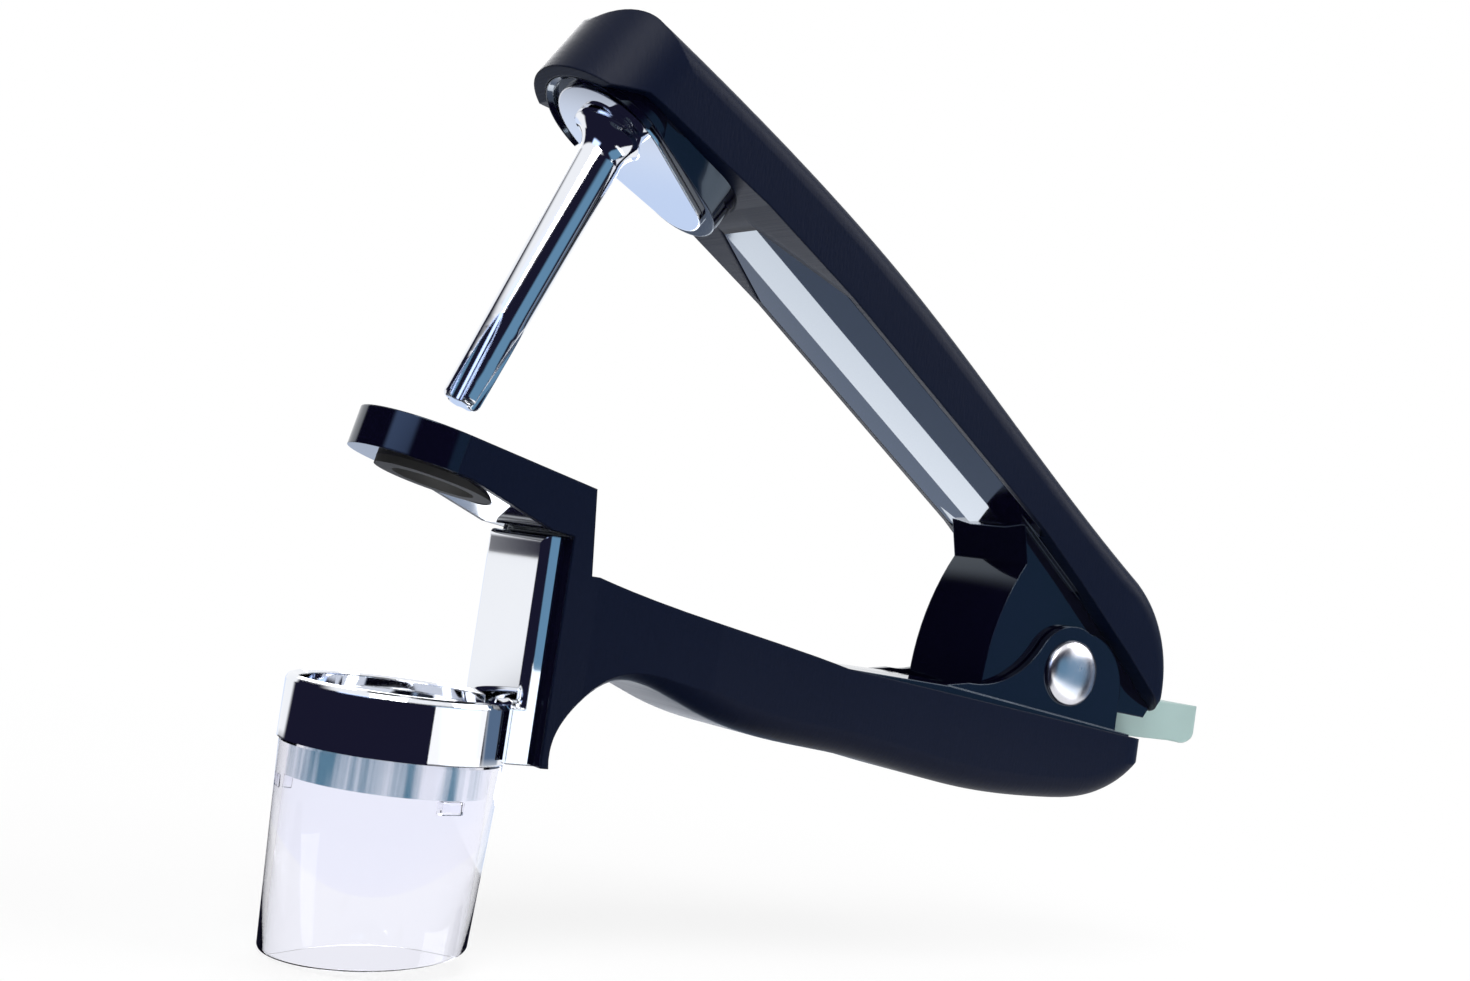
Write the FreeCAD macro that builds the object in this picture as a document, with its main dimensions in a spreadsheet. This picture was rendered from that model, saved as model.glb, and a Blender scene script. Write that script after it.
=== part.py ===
import FreeCAD, Part
import Sketcher
import math
import os

# Hand-held cherry pitter: two levers hinged at the rear, squeezed to drive a fluted rod
# through a guide plate and the fruit into a cup, with a clear splash shield below.
# X runs from the cup towards the hinge, Z up along the cup's axis, and the origin is the
# middle of the shield's foot. The levers stand open, as their spring holds them.

Vector = FreeCAD.Vector
AXIS_X = Vector(1, 0, 0)
AXIS_Y = Vector(0, 1, 0)
AXIS_Z = Vector(0, 0, 1)

SIZES = {
    "shield_height": 24.2,
    "shield_foot_radius": 12.6,
    "shield_top_radius": 13.7,
    "shield_wall": 1.1,
    "shield_gap": 0.1,
    "shield_trim": 3.0,
    "rib_half_width": 1.6,
    "rib_depth": 1.6,
    "rib_overlap": 1.0,
    "rib_gap": 0.15,
    "foot_slant": 5.8,
    "cup_radius": 14.0,
    "cup_height": 7.7,
    "cup_wall": 1.5,
    "cup_floor": 1.4,
    "pit_hole_radius": 6.8,
    "collar_radius": 12.3,
    "collar_height": 4.2,
    "collar_wall": 1.2,
    "spine_thickness": 3.1,
    "spine_half_width": 8.0,
    "spine_top": 52.8,
    "spine_back": 15.5,
    "plate_radius": 9.8,
    "plate_thickness": 4.9,
    "plate_tilt": 12.0,
    "plate_top": 63.2,
    "plate_offset": -0.5,
    "guide_hole_radius": 5.3,
    "stripper_radius": 7.6,
    "stripper_height": 1.0,
    "stripper_seat": 1.6,
    "skin": 1.2,
    "stripe": 1.2,
    "reach": 106.6,
    "datum_height": 43.1,
    "pivot_ahead": 4.2,
    "pivot_above": 0.85,
    "open_angle": 32.9,
    "stroke": 23.0,
    "beam_root_top": 48.5,
    "beam_root_bottom": 35.3,
    "tail_length": 14.8,
    "tail_drop": 8.1,
    "belly_depth": 9.9,
    "tail_round": 7.0,
    "lower_half_width": 11.2,
    "edge_round": 3.5,
    "ridge_drop": 2.6,
    "guide_shift": 1.7,
    "lug_radius": 7.2,
    "upper_half_width": 11.4,
    "drum_centre": 109.6,
    "drum_rim": 3.2,
    "upper_inner": 9.1,
    "upper_border": 9.8,
    "upper_back": 18.0,
    "ridge_half_width": 3.9,
    "boss_face": 4.5,
    "boss_margin": 1.8,
    "deck_far": 104.0,
    "deck_near": 22.4,
    "knuckle_reach": 34.0,
    "knuckle_crown": 15.0,
    "slope_station": 25.5,
    "slope_depth": 9.9,
    "brow_station": 20.8,
    "brow_depth": 5.6,
    "heel_radius": 17.1,
    "heel_gap": 0.35,
    "knuckle_half_width": 8.2,
    "hinge_wall": 1.5,
    "hinge_bore_depth": 12.4,
    "cheek_thickness": 1.2,
    "cheek_radius": 7.0,
    "cheek_rear": 10.9,
    "pocket_depth": 3.3,
    "lug_thickness": 1.4,
    "pin_radius": 2.5,
    "rivet_radius": 4.9,
    "rivet_height": 1.5,
    "running_gap": 0.06,
    "press_gap": 0.03,
    "end_gap": 0.05,
    "bush_wall": 1.1,
    "washer_width": 2.6,
    "side_gap": 0.3,
    "rod_root": 108.5,
    "rod_length": 40.9,
    "rod_lean": 10.4,
    "rod_root_radius": 3.03,
    "rod_tip_radius": 2.5,
    "flare_height": 4.0,
    "flute_radius": 1.0,
    "flute_depth": 1.15,
    "flute_length": 14.0,
    "tongue_disc_radius": 8.6,
    "tongue_end": 91.5,
    "tongue_end_radius": 4.6,
    "tongue_thickness": 0.8,
    "tab_half_width": 4.3,
    "tab_drop": 7.9,
    "tab_height": 6.2,
    "tab_end": 31.0,
    "lock_travel": 5.0,
    "nose_length": 6.4,
    "stem_half_width": 2.3,
    "stem_height": 2.6,
    "lock_pin_radius": 0.7,
    "lock_pin_place": 7.2,
    "leaf_start": 4.0,
    "leaf_length": 12.5,
    "leaf_half_width": 2.0,
    "leaf_thickness": 0.4,
    "leaf_sink": 0.6,
    "leaf_screw_place": 6.3,
    "leaf_screw_radius": 0.8,
    "leaf_screw_head": 1.3,
    "leaf_screw_height": 0.3,
    "leaf_screw_length": 2.4,
    "spring_wire": 1.1,
    "spring_radius": 4.6,
    "spring_turns": 4.6,
    "leg_angle": -125.0,
    "leg_length": 10.4,
    "screw_radius": 1.3,
    "screw_head_radius": 2.4,
    "slot_depth": 0.6,
    "slot_half_width": 0.3,
    "screw_seat": 0.9,
    "head_seat": 1.7,
}

doc = FreeCAD.newDocument("cherry_pitter")
sheet = doc.addObject("Spreadsheet::Sheet", "Sizes")
for row, (alias, value) in enumerate(SIZES.items(), start=1):
    sheet.set(f"A{row}", alias)
    sheet.set(f"B{row}", str(value))
    sheet.setAlias(f"B{row}", alias)
doc.recompute()
size = {alias: float(sheet.get(alias)) for alias in SIZES}

datum = Vector(size["reach"], 0, size["datum_height"])
pivot = datum + Vector(-size["pivot_ahead"], 0, size["pivot_above"])
lever_placement = FreeCAD.Placement(datum, FreeCAD.Rotation(AXIS_Y, size["open_angle"]))
closing = FreeCAD.Placement(Vector(0, 0, 0), FreeCAD.Rotation(AXIS_Y, -size["stroke"]), pivot)
shut_placement = closing * lever_placement
plate_centre = Vector(size["plate_offset"], 0, size["plate_top"])
plate_placement = FreeCAD.Placement(plate_centre, FreeCAD.Rotation(AXIS_Y, size["plate_tilt"]))
LUG_INNER = "(Sizes.knuckle_half_width - Sizes.hinge_wall - Sizes.side_gap - Sizes.lug_thickness)"
CHEEK_OUTER = "(Sizes.knuckle_half_width + Sizes.side_gap + Sizes.cheek_thickness)"
wall_inner = size["knuckle_half_width"] - size["hinge_wall"]
lug_outer = wall_inner - size["side_gap"]
lug_inner = lug_outer - size["lug_thickness"]
cheek_inner = size["knuckle_half_width"] + size["side_gap"]
cheek_outer = cheek_inner + size["cheek_thickness"]
tail_height = size["datum_height"] - size["tail_drop"]
tab_bottom = size["datum_height"] - size["tab_drop"]
channel_floor = tab_bottom - 0.3
pocket_floor = channel_floor - size["pocket_depth"]


def outline(pieces):
    """Closed wire in the XZ plane: two points make a line, three an arc, more a spline."""
    edges = []
    for piece in pieces:
        points = [Vector(x, 0, z) for x, z in piece]
        if len(points) == 2:
            edges.append(Part.LineSegment(*points).toShape())
        elif len(points) == 3:
            edges.append(Part.Arc(*points).toShape())
        else:
            curve = Part.BSplineCurve()
            curve.interpolate(points)
            edges.append(curve.toShape())
    return Part.Wire(Part.__sortEdges__(edges))


def polygon(points):
    """Closed wire of straight lines through XZ points."""
    corners = [Vector(x, 0, z) for x, z in points]
    return Part.makePolygon(corners + corners[:1])


def slab(wire, half_width):
    """Solid of an XZ outline, as wide on both sides of the middle plane."""
    face = Part.Face(wire)
    face.translate(Vector(0, -half_width, 0))
    return face.extrude(Vector(0, 2 * half_width, 0))


def cylinder_y(radius, half_width, x=0.0, z=0.0):
    """Cylinder along Y, centred on the middle plane."""
    return Part.makeCylinder(radius, 2 * half_width, Vector(x, -half_width, z), AXIS_Y)


def box(x_range, y_range, z_range):
    """Box from three ranges."""
    corner = Vector(x_range[0], y_range[0], z_range[0])
    lengths = [r[1] - r[0] for r in (x_range, y_range, z_range)]
    return Part.makeBox(*lengths, corner)


def placed(shape, placement):
    """Copy of a shape moved by a placement."""
    moved = shape.copy()
    moved.transformShape(placement.toMatrix(), True)
    return moved


def add_piece(label, shape, placement=FreeCAD.Placement()):
    """Document object for a sub-part whose shape is built from the sheet's sizes."""
    piece = doc.addObject("Part::Feature", label)
    piece.Label = label
    piece.Shape = shape.removeSplitter()
    piece.Placement = placement
    return piece


def primitive(kind, label, placement=FreeCAD.Placement(), **expressions):
    """Part primitive whose dimensions follow expressions on the sheet."""
    item = doc.addObject("Part::" + kind, label)
    item.Label = label
    item.Placement = placement
    for name, expression in expressions.items():
        item.setExpression(name, expression)
    return item


def combined(kind, label, *operands):
    """Cut, fusion, common or compound of document objects."""
    item = doc.addObject("Part::" + kind, label)
    item.Label = label
    if kind == "Cut":
        item.Base, item.Tool = operands
    elif kind == "Compound":
        item.Links = list(operands)
    else:
        item.Shapes = list(operands)
    return item


def tube(label, placement, outer, inner, length):
    """Ring along the placement's Z from expressions for its radii and length."""
    solid = primitive("Cylinder", label + "_outside", placement, Radius=outer, Height=length)
    bore = primitive("Cylinder", label + "_bore", placement, Radius=inner, Height=length)
    return combined("Cut", label, solid, bore)


def ring_body(label, placement, outer, inner, length):
    """Body of a ring: two circles in a sketch, padded, with expressions for all three sizes."""
    body = doc.addObject("PartDesign::Body", label)
    body.Label = label
    sketch = body.newObject("Sketcher::SketchObject", label + "_sketch")
    plane = [item for item in body.Origin.OriginFeatures if item.Role == "XY_Plane"][0]
    sketch.AttachmentSupport = [(plane, "")]
    sketch.MapMode = "FlatFace"
    for start_radius, expression in ((8.0, outer), (4.0, inner)):
        circle = sketch.addGeometry(Part.Circle(Vector(0, 0, 0), AXIS_Z, start_radius))
        sketch.addConstraint(Sketcher.Constraint("Coincident", circle, 3, -1, 1))
        radius = sketch.addConstraint(Sketcher.Constraint("Radius", circle, start_radius))
        sketch.setExpression(f"Constraints[{radius}]", expression)
    pad = body.newObject("PartDesign::Pad", label + "_pad")
    pad.Profile = sketch
    pad.setExpression("Length", length)
    body.Placement = placement
    return body


def revolved(points):
    """Solid of revolution about Z of a closed (radius, z) outline."""
    return Part.Face(polygon(points)).revolve(Vector(0, 0, 0), AXIS_Z, 360)


def cup():
    """Ring that the fruit sits in, with its seat and pit hole."""
    bottom = size["shield_height"]
    top = bottom + size["cup_height"]
    radius = size["cup_radius"]
    inner = radius - size["cup_wall"]
    lip = size["cup_wall"] / 2
    hole = size["pit_hole_radius"]
    floor = bottom + size["cup_floor"]
    seat = floor + (inner - hole) * 0.45
    return revolved([
        (hole, bottom), (radius, bottom), (radius, top - lip), (radius - lip / 3, top - lip / 3),
        (radius - lip, top), (inner, top - lip / 2), (inner, seat), (hole, floor),
    ])


def build_shield_collar():
    """Ring under the cup that the splash shield is pushed over."""
    bottom = Vector(0, 0, size["shield_height"] - size["collar_height"])
    place = FreeCAD.Placement(bottom, FreeCAD.Rotation())
    inner = "Sizes.collar_radius - Sizes.collar_wall"
    return ring_body("shield_collar", place, "Sizes.collar_radius", inner, "Sizes.collar_height")


def build_cherry_holder():
    """Chromed cup with the upright spine that screws to the lower lever."""
    back = size["spine_back"]
    front = back - size["spine_thickness"]
    half = size["spine_half_width"]
    bottom = size["shield_height"]
    spine = box((front, back), (-half, half), (bottom, size["spine_top"]))
    round_off = size["spine_thickness"] * 0.35
    edges = [e for e in spine.Edges if e.BoundBox.XMax < front + 0.01 and e.BoundBox.ZMax > bottom + 0.01]
    spine = spine.makeFillet(round_off, edges)
    web = box((size["cup_radius"] * 0.55, back), (-half, half), (bottom, bottom + size["cup_height"] - 0.8))
    bowl = Part.makeCylinder(size["cup_radius"] - size["cup_wall"], size["cup_height"] + 1,
                             Vector(0, 0, bottom - 0.5))
    shape = cup().fuse([spine, web.cut(bowl)])
    for height in screw_heights():
        shape = shape.cut(Part.makeCylinder(size["screw_radius"], back,
                                            Vector(front + size["screw_seat"], 0, height), AXIS_X))
    return add_piece("cherry_holder", shape)


def screw_heights():
    """Heights of the two screws that hold the spine, clear of the beam."""
    return [size["beam_root_bottom"] - 6.0, size["spine_top"] - 2.4 - size["screw_head_radius"]]


def countersunk_screw(label, placement, length):
    """Screw along the placement's -Z, with the top of its slotted head at the placement's origin."""
    rise = "Sizes.screw_head_radius - Sizes.screw_radius"
    cone_place = placement * FreeCAD.Placement(Vector(0, 0, size["screw_radius"] - size["screw_head_radius"]),
                                               FreeCAD.Rotation())
    cone = primitive("Cone", label + "_head", cone_place, Radius1="Sizes.screw_radius",
                     Radius2="Sizes.screw_head_radius",
                     Height=rise)
    shaft_place = placement * FreeCAD.Placement(Vector(0, 0, -length), FreeCAD.Rotation())
    shaft = primitive("Cylinder", label + "_shank", shaft_place, Radius="Sizes.screw_radius",
                      Height=f"{length:.4f}")
    corner = Vector(-size["screw_head_radius"], -size["slot_half_width"], -size["slot_depth"])
    slot = primitive("Box", label + "_slot", placement * FreeCAD.Placement(corner, FreeCAD.Rotation()),
                     Length="2 * Sizes.screw_head_radius", Width="2 * Sizes.slot_half_width",
                     Height="2 * Sizes.slot_depth")
    return combined("Cut", label, combined("MultiFuse", label + "_blank", cone, shaft), slot)


def countersunk_hole(length, mouth_depth=3.0):
    """Space for a countersunk screw, open above its head."""
    head = size["screw_head_radius"]
    shank = size["screw_radius"]
    cone = Part.makeCone(shank, head, head - shank, Vector(0, 0, shank - head), AXIS_Z)
    mouth = Part.makeCylinder(head, mouth_depth, Vector(0, 0, 0), AXIS_Z)
    return cone.fuse([Part.makeCylinder(shank, length, Vector(0, 0, -length), AXIS_Z), mouth])


def holder_screw_places():
    """Placements of the holder's screws, heads towards the hinge."""
    head_face = size["spine_back"] + size["head_seat"]
    turn = FreeCAD.Rotation(AXIS_Y, 90)
    return [FreeCAD.Placement(Vector(head_face, 0, height), turn) for height in screw_heights()]


def build_holder_screws():
    """Two countersunk screws through the lower core into the holder's spine."""
    length = size["spine_thickness"] - size["screw_seat"] + size["head_seat"]
    places = enumerate(holder_screw_places(), start=1)
    screws = [countersunk_screw(f"holder_screw_{number}", place, length) for number, place in places]
    return combined("Compound", "holder_screws", *screws)


def border_line():
    """Two points of the straight upper border of the lower lever's soft grip."""
    rise = (size["reach"] * 0.56, size["datum_height"] - 2.2)
    return rise, (size["reach"] + size["tail_length"], tail_height)


def border_height(x):
    (x0, z0), (x1, z1) = border_line()
    return z0 + (z1 - z0) * (x - x0) / (x1 - x0)


def plate_point(along, depth):
    """World XZ point that lies along the tilted plate and a depth under its top."""
    point = plate_placement.multVec(Vector(along, 0, -depth))
    return point.x, point.z


def arm_length():
    """Length of the plate's arm from the round end's centre to the head's rear corner."""
    return (size["spine_back"] + 2.15 - size["plate_offset"]) / math.cos(math.radians(size["plate_tilt"]))


def head_outline(skin=0.0):
    """Corners of the head: arm, back plate and the strip behind the spine."""
    back = size["spine_back"]
    bottom = size["shield_height"]
    rear_corner = plate_point(arm_length() - skin, 0)
    return [
        (back, bottom), (back, size["spine_top"] + 0.3),
        (back - size["spine_thickness"] - 0.2, size["spine_top"] + 0.7),
        plate_point(2.2, size["plate_thickness"]), plate_point(0, size["plate_thickness"]), plate_point(0, 0),
        rear_corner, (back + 3.25 - skin, size["beam_root_top"]),
    ]


def lower_outer_outline():
    """Side outline of the lower lever with its soft grip, without the round plate end."""
    back = size["spine_back"]
    bottom = size["shield_height"]
    corners = head_outline()
    reach = size["reach"]
    root_low = size["beam_root_bottom"]
    tail = (reach + size["tail_length"], tail_height)
    root = (back + 4.4, size["beam_root_top"])
    mid_top = (reach * 0.31, size["beam_root_top"] - 2.9)
    rise = border_line()[0]
    belly = tail_height - size["belly_depth"]
    lines = [[a, b] for a, b in zip(corners[:-1], corners[1:])]
    lines += [
        [corners[-1], root],
        [root, mid_top, (reach * 0.42, size["beam_root_top"] - 4.9), rise],
        [rise, tail],
        [tail, (tail[0] - 1.9, tail_height - 3.4), (tail[0] - 5.9, tail_height - 6.8),
         (tail[0] - 12.0, belly + 0.7),
         (reach - 5.0, belly), (reach * 0.8, belly + 0.5), (reach * 0.59, root_low - 6.5),
         (reach * 0.36, root_low - 2.7),
         (back + 8.4, root_low), (back + 4.2, root_low - 3.4), (back + 2.2, (root_low + bottom) / 2 - 1.0),
         (back + 1.8, bottom)],
        [(back + 1.8, bottom), (back, bottom)],
    ]
    return outline(lines)


def lower_plan():
    """Plan outline of the lower lever: narrow at the head, full width along the grip."""
    narrow = size["plate_radius"]
    wide = size["lower_half_width"]
    reach = size["reach"]
    start = size["spine_back"] + 4.4
    tail = reach + size["tail_length"]
    points = [(-narrow * 2, narrow), (start, narrow), (reach * 0.36, wide), (tail, wide)]
    return rounded_plan(points, size["tail_round"])


def rounded_plan(side, round_off):
    """Upright slab over a plan given for one side, its last corner rounded on both sides."""
    (x, y) = side[-1]
    turn = round_off * (1 - math.sqrt(0.5))
    half = [Vector(a, b, -90) for a, b in side[:-1]]
    corner = [Vector(x - round_off, y, -90), Vector(x - turn, y - turn, -90), Vector(x, y - round_off, -90)]
    mirrored = [Vector(v.x, -v.y, v.z) for v in corner]
    other = [Vector(v.x, -v.y, v.z) for v in half]
    path = half + [corner[0]]
    back_path = [mirrored[0]] + other[::-1] + [half[0]]
    edges = [Part.LineSegment(a, b).toShape() for a, b in zip(path[:-1], path[1:])]
    edges += [Part.Arc(*corner).toShape(), Part.LineSegment(corner[2], mirrored[2]).toShape(),
              Part.Arc(*mirrored[::-1]).toShape()]
    edges += [Part.LineSegment(a, b).toShape() for a, b in zip(back_path[:-1], back_path[1:])]
    return Part.Face(Part.Wire(edges)).extrude(Vector(0, 0, 240))


def lower_outer():
    """Outer solid of the lower lever, with its long lower edges rounded."""
    solid = slab(lower_outer_outline(), size["lower_half_width"])
    belly = [edge for edge in solid.Edges if edge.BoundBox.XLength > size["reach"] * 0.75]
    return solid.makeFillet(size["edge_round"], belly).common(lower_plan())


def section_wire(x, points):
    """Closed wire across the lever at x, through (y, z) points given for one side."""
    loop = [Vector(x, y, z) for y, z in points] + [Vector(x, -y, z) for y, z in reversed(points)]
    return Part.makePolygon(loop + loop[:1])


def lower_deck():
    """Glossy ridge that shows above the grip and runs back beside the hinge."""
    ridge = size["ridge_half_width"]
    edge = size["lower_half_width"] - 1.0
    start = size["reach"] * 0.56 + 1.0
    middle = pivot.x - size["heel_radius"] - size["heel_gap"] - 6.0
    end = size["reach"] + size["tail_length"] - 5.5
    stations = ((start, border_height(start), 0.0), (middle, size["datum_height"] - size["ridge_drop"], 1.0),
                (end, border_height(end) + 0.5, 0.3))
    wires = []
    for x, top, rise in stations:
        low = border_height(x)
        wires.append(section_wire(x, [(edge, low - 2.5), (edge, low + rise), (ridge, max(top, low + rise))]))
    return [Part.makeLoft(list(pair), True, True) for pair in zip(wires[:-1], wires[1:])]


def lower_beam():
    """Rigid beam inside the lower lever's grip."""
    back = size["spine_back"] + size["stripe"]
    skin = size["skin"]
    reach = size["reach"]
    tail = reach + size["tail_length"] - 5.0
    low = size["beam_root_bottom"] + 1.6
    top = size["beam_root_top"] - 1.5
    rise_x, rise_z = border_line()[0]
    belly = tail_height - size["belly_depth"] + 2 * skin
    outline_points = [
        (back - size["stripe"], size["shield_height"]), (back, size["shield_height"]), (back, low - 4.5),
        (back + 6.5, low), (reach * 0.36, low - 2.6), (reach * 0.77, belly + 1.0), (reach - 2, belly),
        (reach + 4, belly + 1.6), (tail, tail_height - 1.6), (tail, border_height(tail)),
        (rise_x, rise_z - 0.6),
        (reach * 0.42, top - 4.4), (reach * 0.31, top - 2.6), (back + 2.5, top), (back, top),
        (back, size["spine_top"]),
        (back - size["stripe"], size["spine_top"] + 0.3),
    ]
    return slab(polygon(outline_points), size["plate_radius"] - skin)


def hinge_pocket():
    """Space in the lower lever for the upper lever's knuckle, down to the lock's floor."""
    sweep = cylinder_y(size["heel_radius"] + size["heel_gap"], cheek_inner, pivot.x, pivot.z)
    front = pivot.x - size["heel_radius"] - 5
    rear = pivot.x + 40
    space = polygon([
        (front, pocket_floor), (pivot.x - 9.0, pocket_floor), (pivot.x - 5.2, channel_floor),
        (rear, channel_floor),
        (rear, pivot.z + 20), (front, pivot.z + 20),
    ])
    behind = box((pivot.x, rear), (-cheek_inner, cheek_inner), (channel_floor, pivot.z + 20))
    return sweep.fuse(behind).common(slab(space, size["knuckle_half_width"] + 1))


def hinge_lugs():
    """Two upright lugs inside the knuckle that carry the pivot pin."""
    disc = cylinder_y(size["lug_radius"], lug_outer, pivot.x, pivot.z)
    foot = box((pivot.x - 7.0, pivot.x + 8.0), (-lug_outer, lug_outer), (channel_floor - 2, pivot.z - 3.3))
    corner = [e for e in foot.Edges if e.BoundBox.XMin > pivot.x + 7.9 and e.BoundBox.ZMin > pivot.z - 3.4]
    foot = foot.makeFillet(1.6, corner)
    gap = box((pivot.x - 15, pivot.x + 15), (-lug_inner, lug_inner), (channel_floor, pivot.z + 15))
    return disc.fuse(foot).cut(gap)


def hinge_cheeks():
    """Two outer cheeks of the lower core that the knuckle turns between."""
    front = pivot.x - size["heel_radius"] - 2.3
    rear = pivot.x + size["cheek_rear"]
    deck_front = border_height(front - 5) + 0.9
    radius = size["cheek_radius"]
    first = (pivot.x + radius * math.cos(math.radians(150)), pivot.z + radius * math.sin(math.radians(150)))
    last = (pivot.x + radius * math.cos(math.radians(62)), pivot.z + radius * math.sin(math.radians(62)))
    wire = outline([
        [(front - 5, border_height(front - 5) - 3), (front - 5, deck_front)],
        [(front - 5, deck_front), (front, deck_front + 0.75)],
        [(front, deck_front + 0.75), (front + 8.3, deck_front + 2.6), first],
        [first, (pivot.x, pivot.z + radius), last],
        [last, (rear - 1.8, pivot.z + 2.9), (rear, pivot.z - 2.2)],
        [(rear, pivot.z - 2.2), (rear, border_height(rear) - 3)],
        [(rear, border_height(rear) - 3), (front - 5, border_height(front - 5) - 3)],
    ])
    plate = slab(wire, cheek_outer)
    return plate.cut(box((front - 6, rear + 1), (-cheek_inner, cheek_inner), (0, 90)))


def half_disc(radius, thickness, bottom):
    """Front half of the plate's round end, in the plate's own frame."""
    disc = Part.makeCylinder(radius, thickness, Vector(0, 0, bottom))
    return disc.common(box((-radius - 1, 0), (-radius - 1, radius + 1), (bottom - 1, bottom + thickness + 1)))


def core_blank():
    """Lower lever's rigid core before its holes and pockets."""
    plate = placed(half_disc(size["plate_radius"], size["plate_thickness"], -size["plate_thickness"]),
                   plate_placement)
    head = slab(polygon(head_outline(size["skin"])), size["plate_radius"] - size["skin"])
    back = size["spine_back"]
    stripe = box((back, back + size["stripe"]), (-size["plate_radius"] + 0.4, size["plate_radius"] - 0.4),
                 (size["shield_height"], size["spine_top"]))
    return plate.fuse([head, lower_beam(), stripe, hinge_cheeks()] + lower_deck())


def guide_hole(radius, top, bottom):
    """Round space along the plate's normal, on the rod's path."""
    hole = Part.makeCylinder(radius, top - bottom, Vector(size["guide_shift"], 0, bottom))
    return placed(hole, plate_placement)


def leaf_place():
    """Ranges of the lock's leaf spring in the channel floor."""
    start = pivot.x - size["leaf_start"]
    low = channel_floor - size["leaf_sink"]
    half = size["leaf_half_width"]
    return (start, start + size["leaf_length"]), (-half, half), (low, low + size["leaf_thickness"])


def build_lower_core(blank):
    """Glossy rigid core of the lower lever with guide plate, ridge and pivot lugs."""
    under = -size["plate_thickness"]
    shape = blank.cut(hinge_pocket())
    shape = shape.fuse(hinge_lugs())
    cuts = [
        guide_hole(size["guide_hole_radius"], 2, under - 2),
        guide_hole(size["stripper_radius"], under + size["stripper_seat"], under - 2),
        cylinder_y(size["pin_radius"] + 0.02, 20, pivot.x, pivot.z),
    ]
    cuts += [placed(countersunk_hole(9), place) for place in holder_screw_places()]
    x_range, y_range, z_range = leaf_place()
    cuts.append(box(x_range, (y_range[0] - 0.1, y_range[1] + 0.1), (z_range[0], channel_floor + 0.1)))
    cuts.append(leaf_screw_space())
    for cut in cuts:
        shape = shape.cut(cut)
    return add_piece("lower_core", shape)


def leaf_screw_space():
    """Threaded space under the leaf for its screw."""
    depth = size["leaf_screw_length"] + size["end_gap"]
    place = FreeCAD.Placement(leaf_screw_top(), FreeCAD.Rotation())
    return placed(Part.makeCylinder(size["leaf_screw_radius"], depth, Vector(0, 0, -depth)), place)


def leaf_screw_top():
    """Point on the leaf's upper face that the screw's head lies on."""
    return Vector(pivot.x + size["leaf_screw_place"], 0,
                  channel_floor - size["leaf_sink"] + size["leaf_thickness"])


def build_lower_grip(blank):
    """Soft satin grip moulded round the core, with side skins on the plate's arm."""
    shape = lower_outer().cut(blank).cut(hinge_pocket())
    for place in holder_screw_places():
        shape = shape.cut(placed(countersunk_hole(1, 0.02), place))
    return add_piece("lower_grip", shape)


def build_stripper_ring():
    """Ring under the plate that holds the fruit back while the rod is drawn out."""
    low = Vector(size["guide_shift"], 0, -size["plate_thickness"] - size["stripper_height"])
    place = plate_placement * FreeCAD.Placement(low, FreeCAD.Rotation())
    height = "Sizes.stripper_height + Sizes.stripper_seat"
    return ring_body("stripper_ring", place, "Sizes.stripper_radius", "Sizes.guide_hole_radius", height)


def hull_wire(height, start, start_radius, end, end_radius):
    """Closed wire round a large circle at the rod's root and a smaller one towards the hinge."""
    distance = end - start
    lean = math.asin((start_radius - end_radius) / distance)
    def point(centre, radius, angle):
        return Vector(centre + radius * math.cos(angle), radius * math.sin(angle), height)
    side = math.pi / 2 - lean
    first = [point(start, start_radius, angle) for angle in (side, math.pi, -side)]
    last = [point(end, end_radius, angle) for angle in (-side, 0, side)]
    return Part.Wire([
        Part.Arc(*first).toShape(), Part.LineSegment(first[2], last[0]).toShape(),
        Part.Arc(*last).toShape(), Part.LineSegment(last[2], first[0]).toShape(),
    ])


def upper_outer():
    """Outer solid of the upper lever in its own frame, pivot at the origin, front towards -X."""
    border = size["upper_border"]
    back = size["upper_back"]
    rim = size["drum_rim"]
    front = -size["drum_centre"] - size["upper_half_width"]
    foot = (15.1, 5.6)
    crown = (-4.0, back - 0.3)
    outline_pieces = [
        [(front, rim), (front, back - 6.0)],
        [(front, back - 6.0), (front + 1.1, back - 3.8), (front + 4.0, back - 2.8)],
        [(front + 4.0, back - 2.8), (-93.0, back - 0.1), (-67.0, back + 1.3), (-40.0, back + 0.6), crown],
        [crown, (8.8, back - 4.2), foot],
        [foot, (11.0, 5.9)], [(11.0, 5.9), (2.6, 7.2)], [(2.6, 7.2), (-12.0, 8.8)],
        [(-12.0, 8.8), (-24.0, border)],
        [(-24.0, border), (-72.0, border)], [(-72.0, border), (-90.0, border - 0.9)],
        [(-90.0, border - 0.9), (-112.0, rim + 3.0)], [(-112.0, rim + 3.0), (-116.0, rim + 0.4)],
        [(-116.0, rim + 0.4), (front, rim)],
    ]
    half = size["upper_half_width"]
    solid = slab(outline(outline_pieces), half)
    edges = []
    for edge in solid.Edges:
        middle = edge.valueAt((edge.FirstParameter + edge.LastParameter) / 2)
        if edge.BoundBox.YLength < 0.01 and middle.z > 8 and edge.BoundBox.XLength > 4.5 and middle.z > border + 1:
            edges.append(edge)
    solid = solid.makeFillet(size["edge_round"], edges)
    drum = Part.makeCylinder(half, 40, Vector(-size["drum_centre"], 0, -10))
    points = [(-size["drum_centre"], half), (foot[0] + 0.2, half)]
    bar = rounded_plan(points, half * 0.45)
    return solid.common(drum.fuse(bar).removeSplitter())


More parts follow.
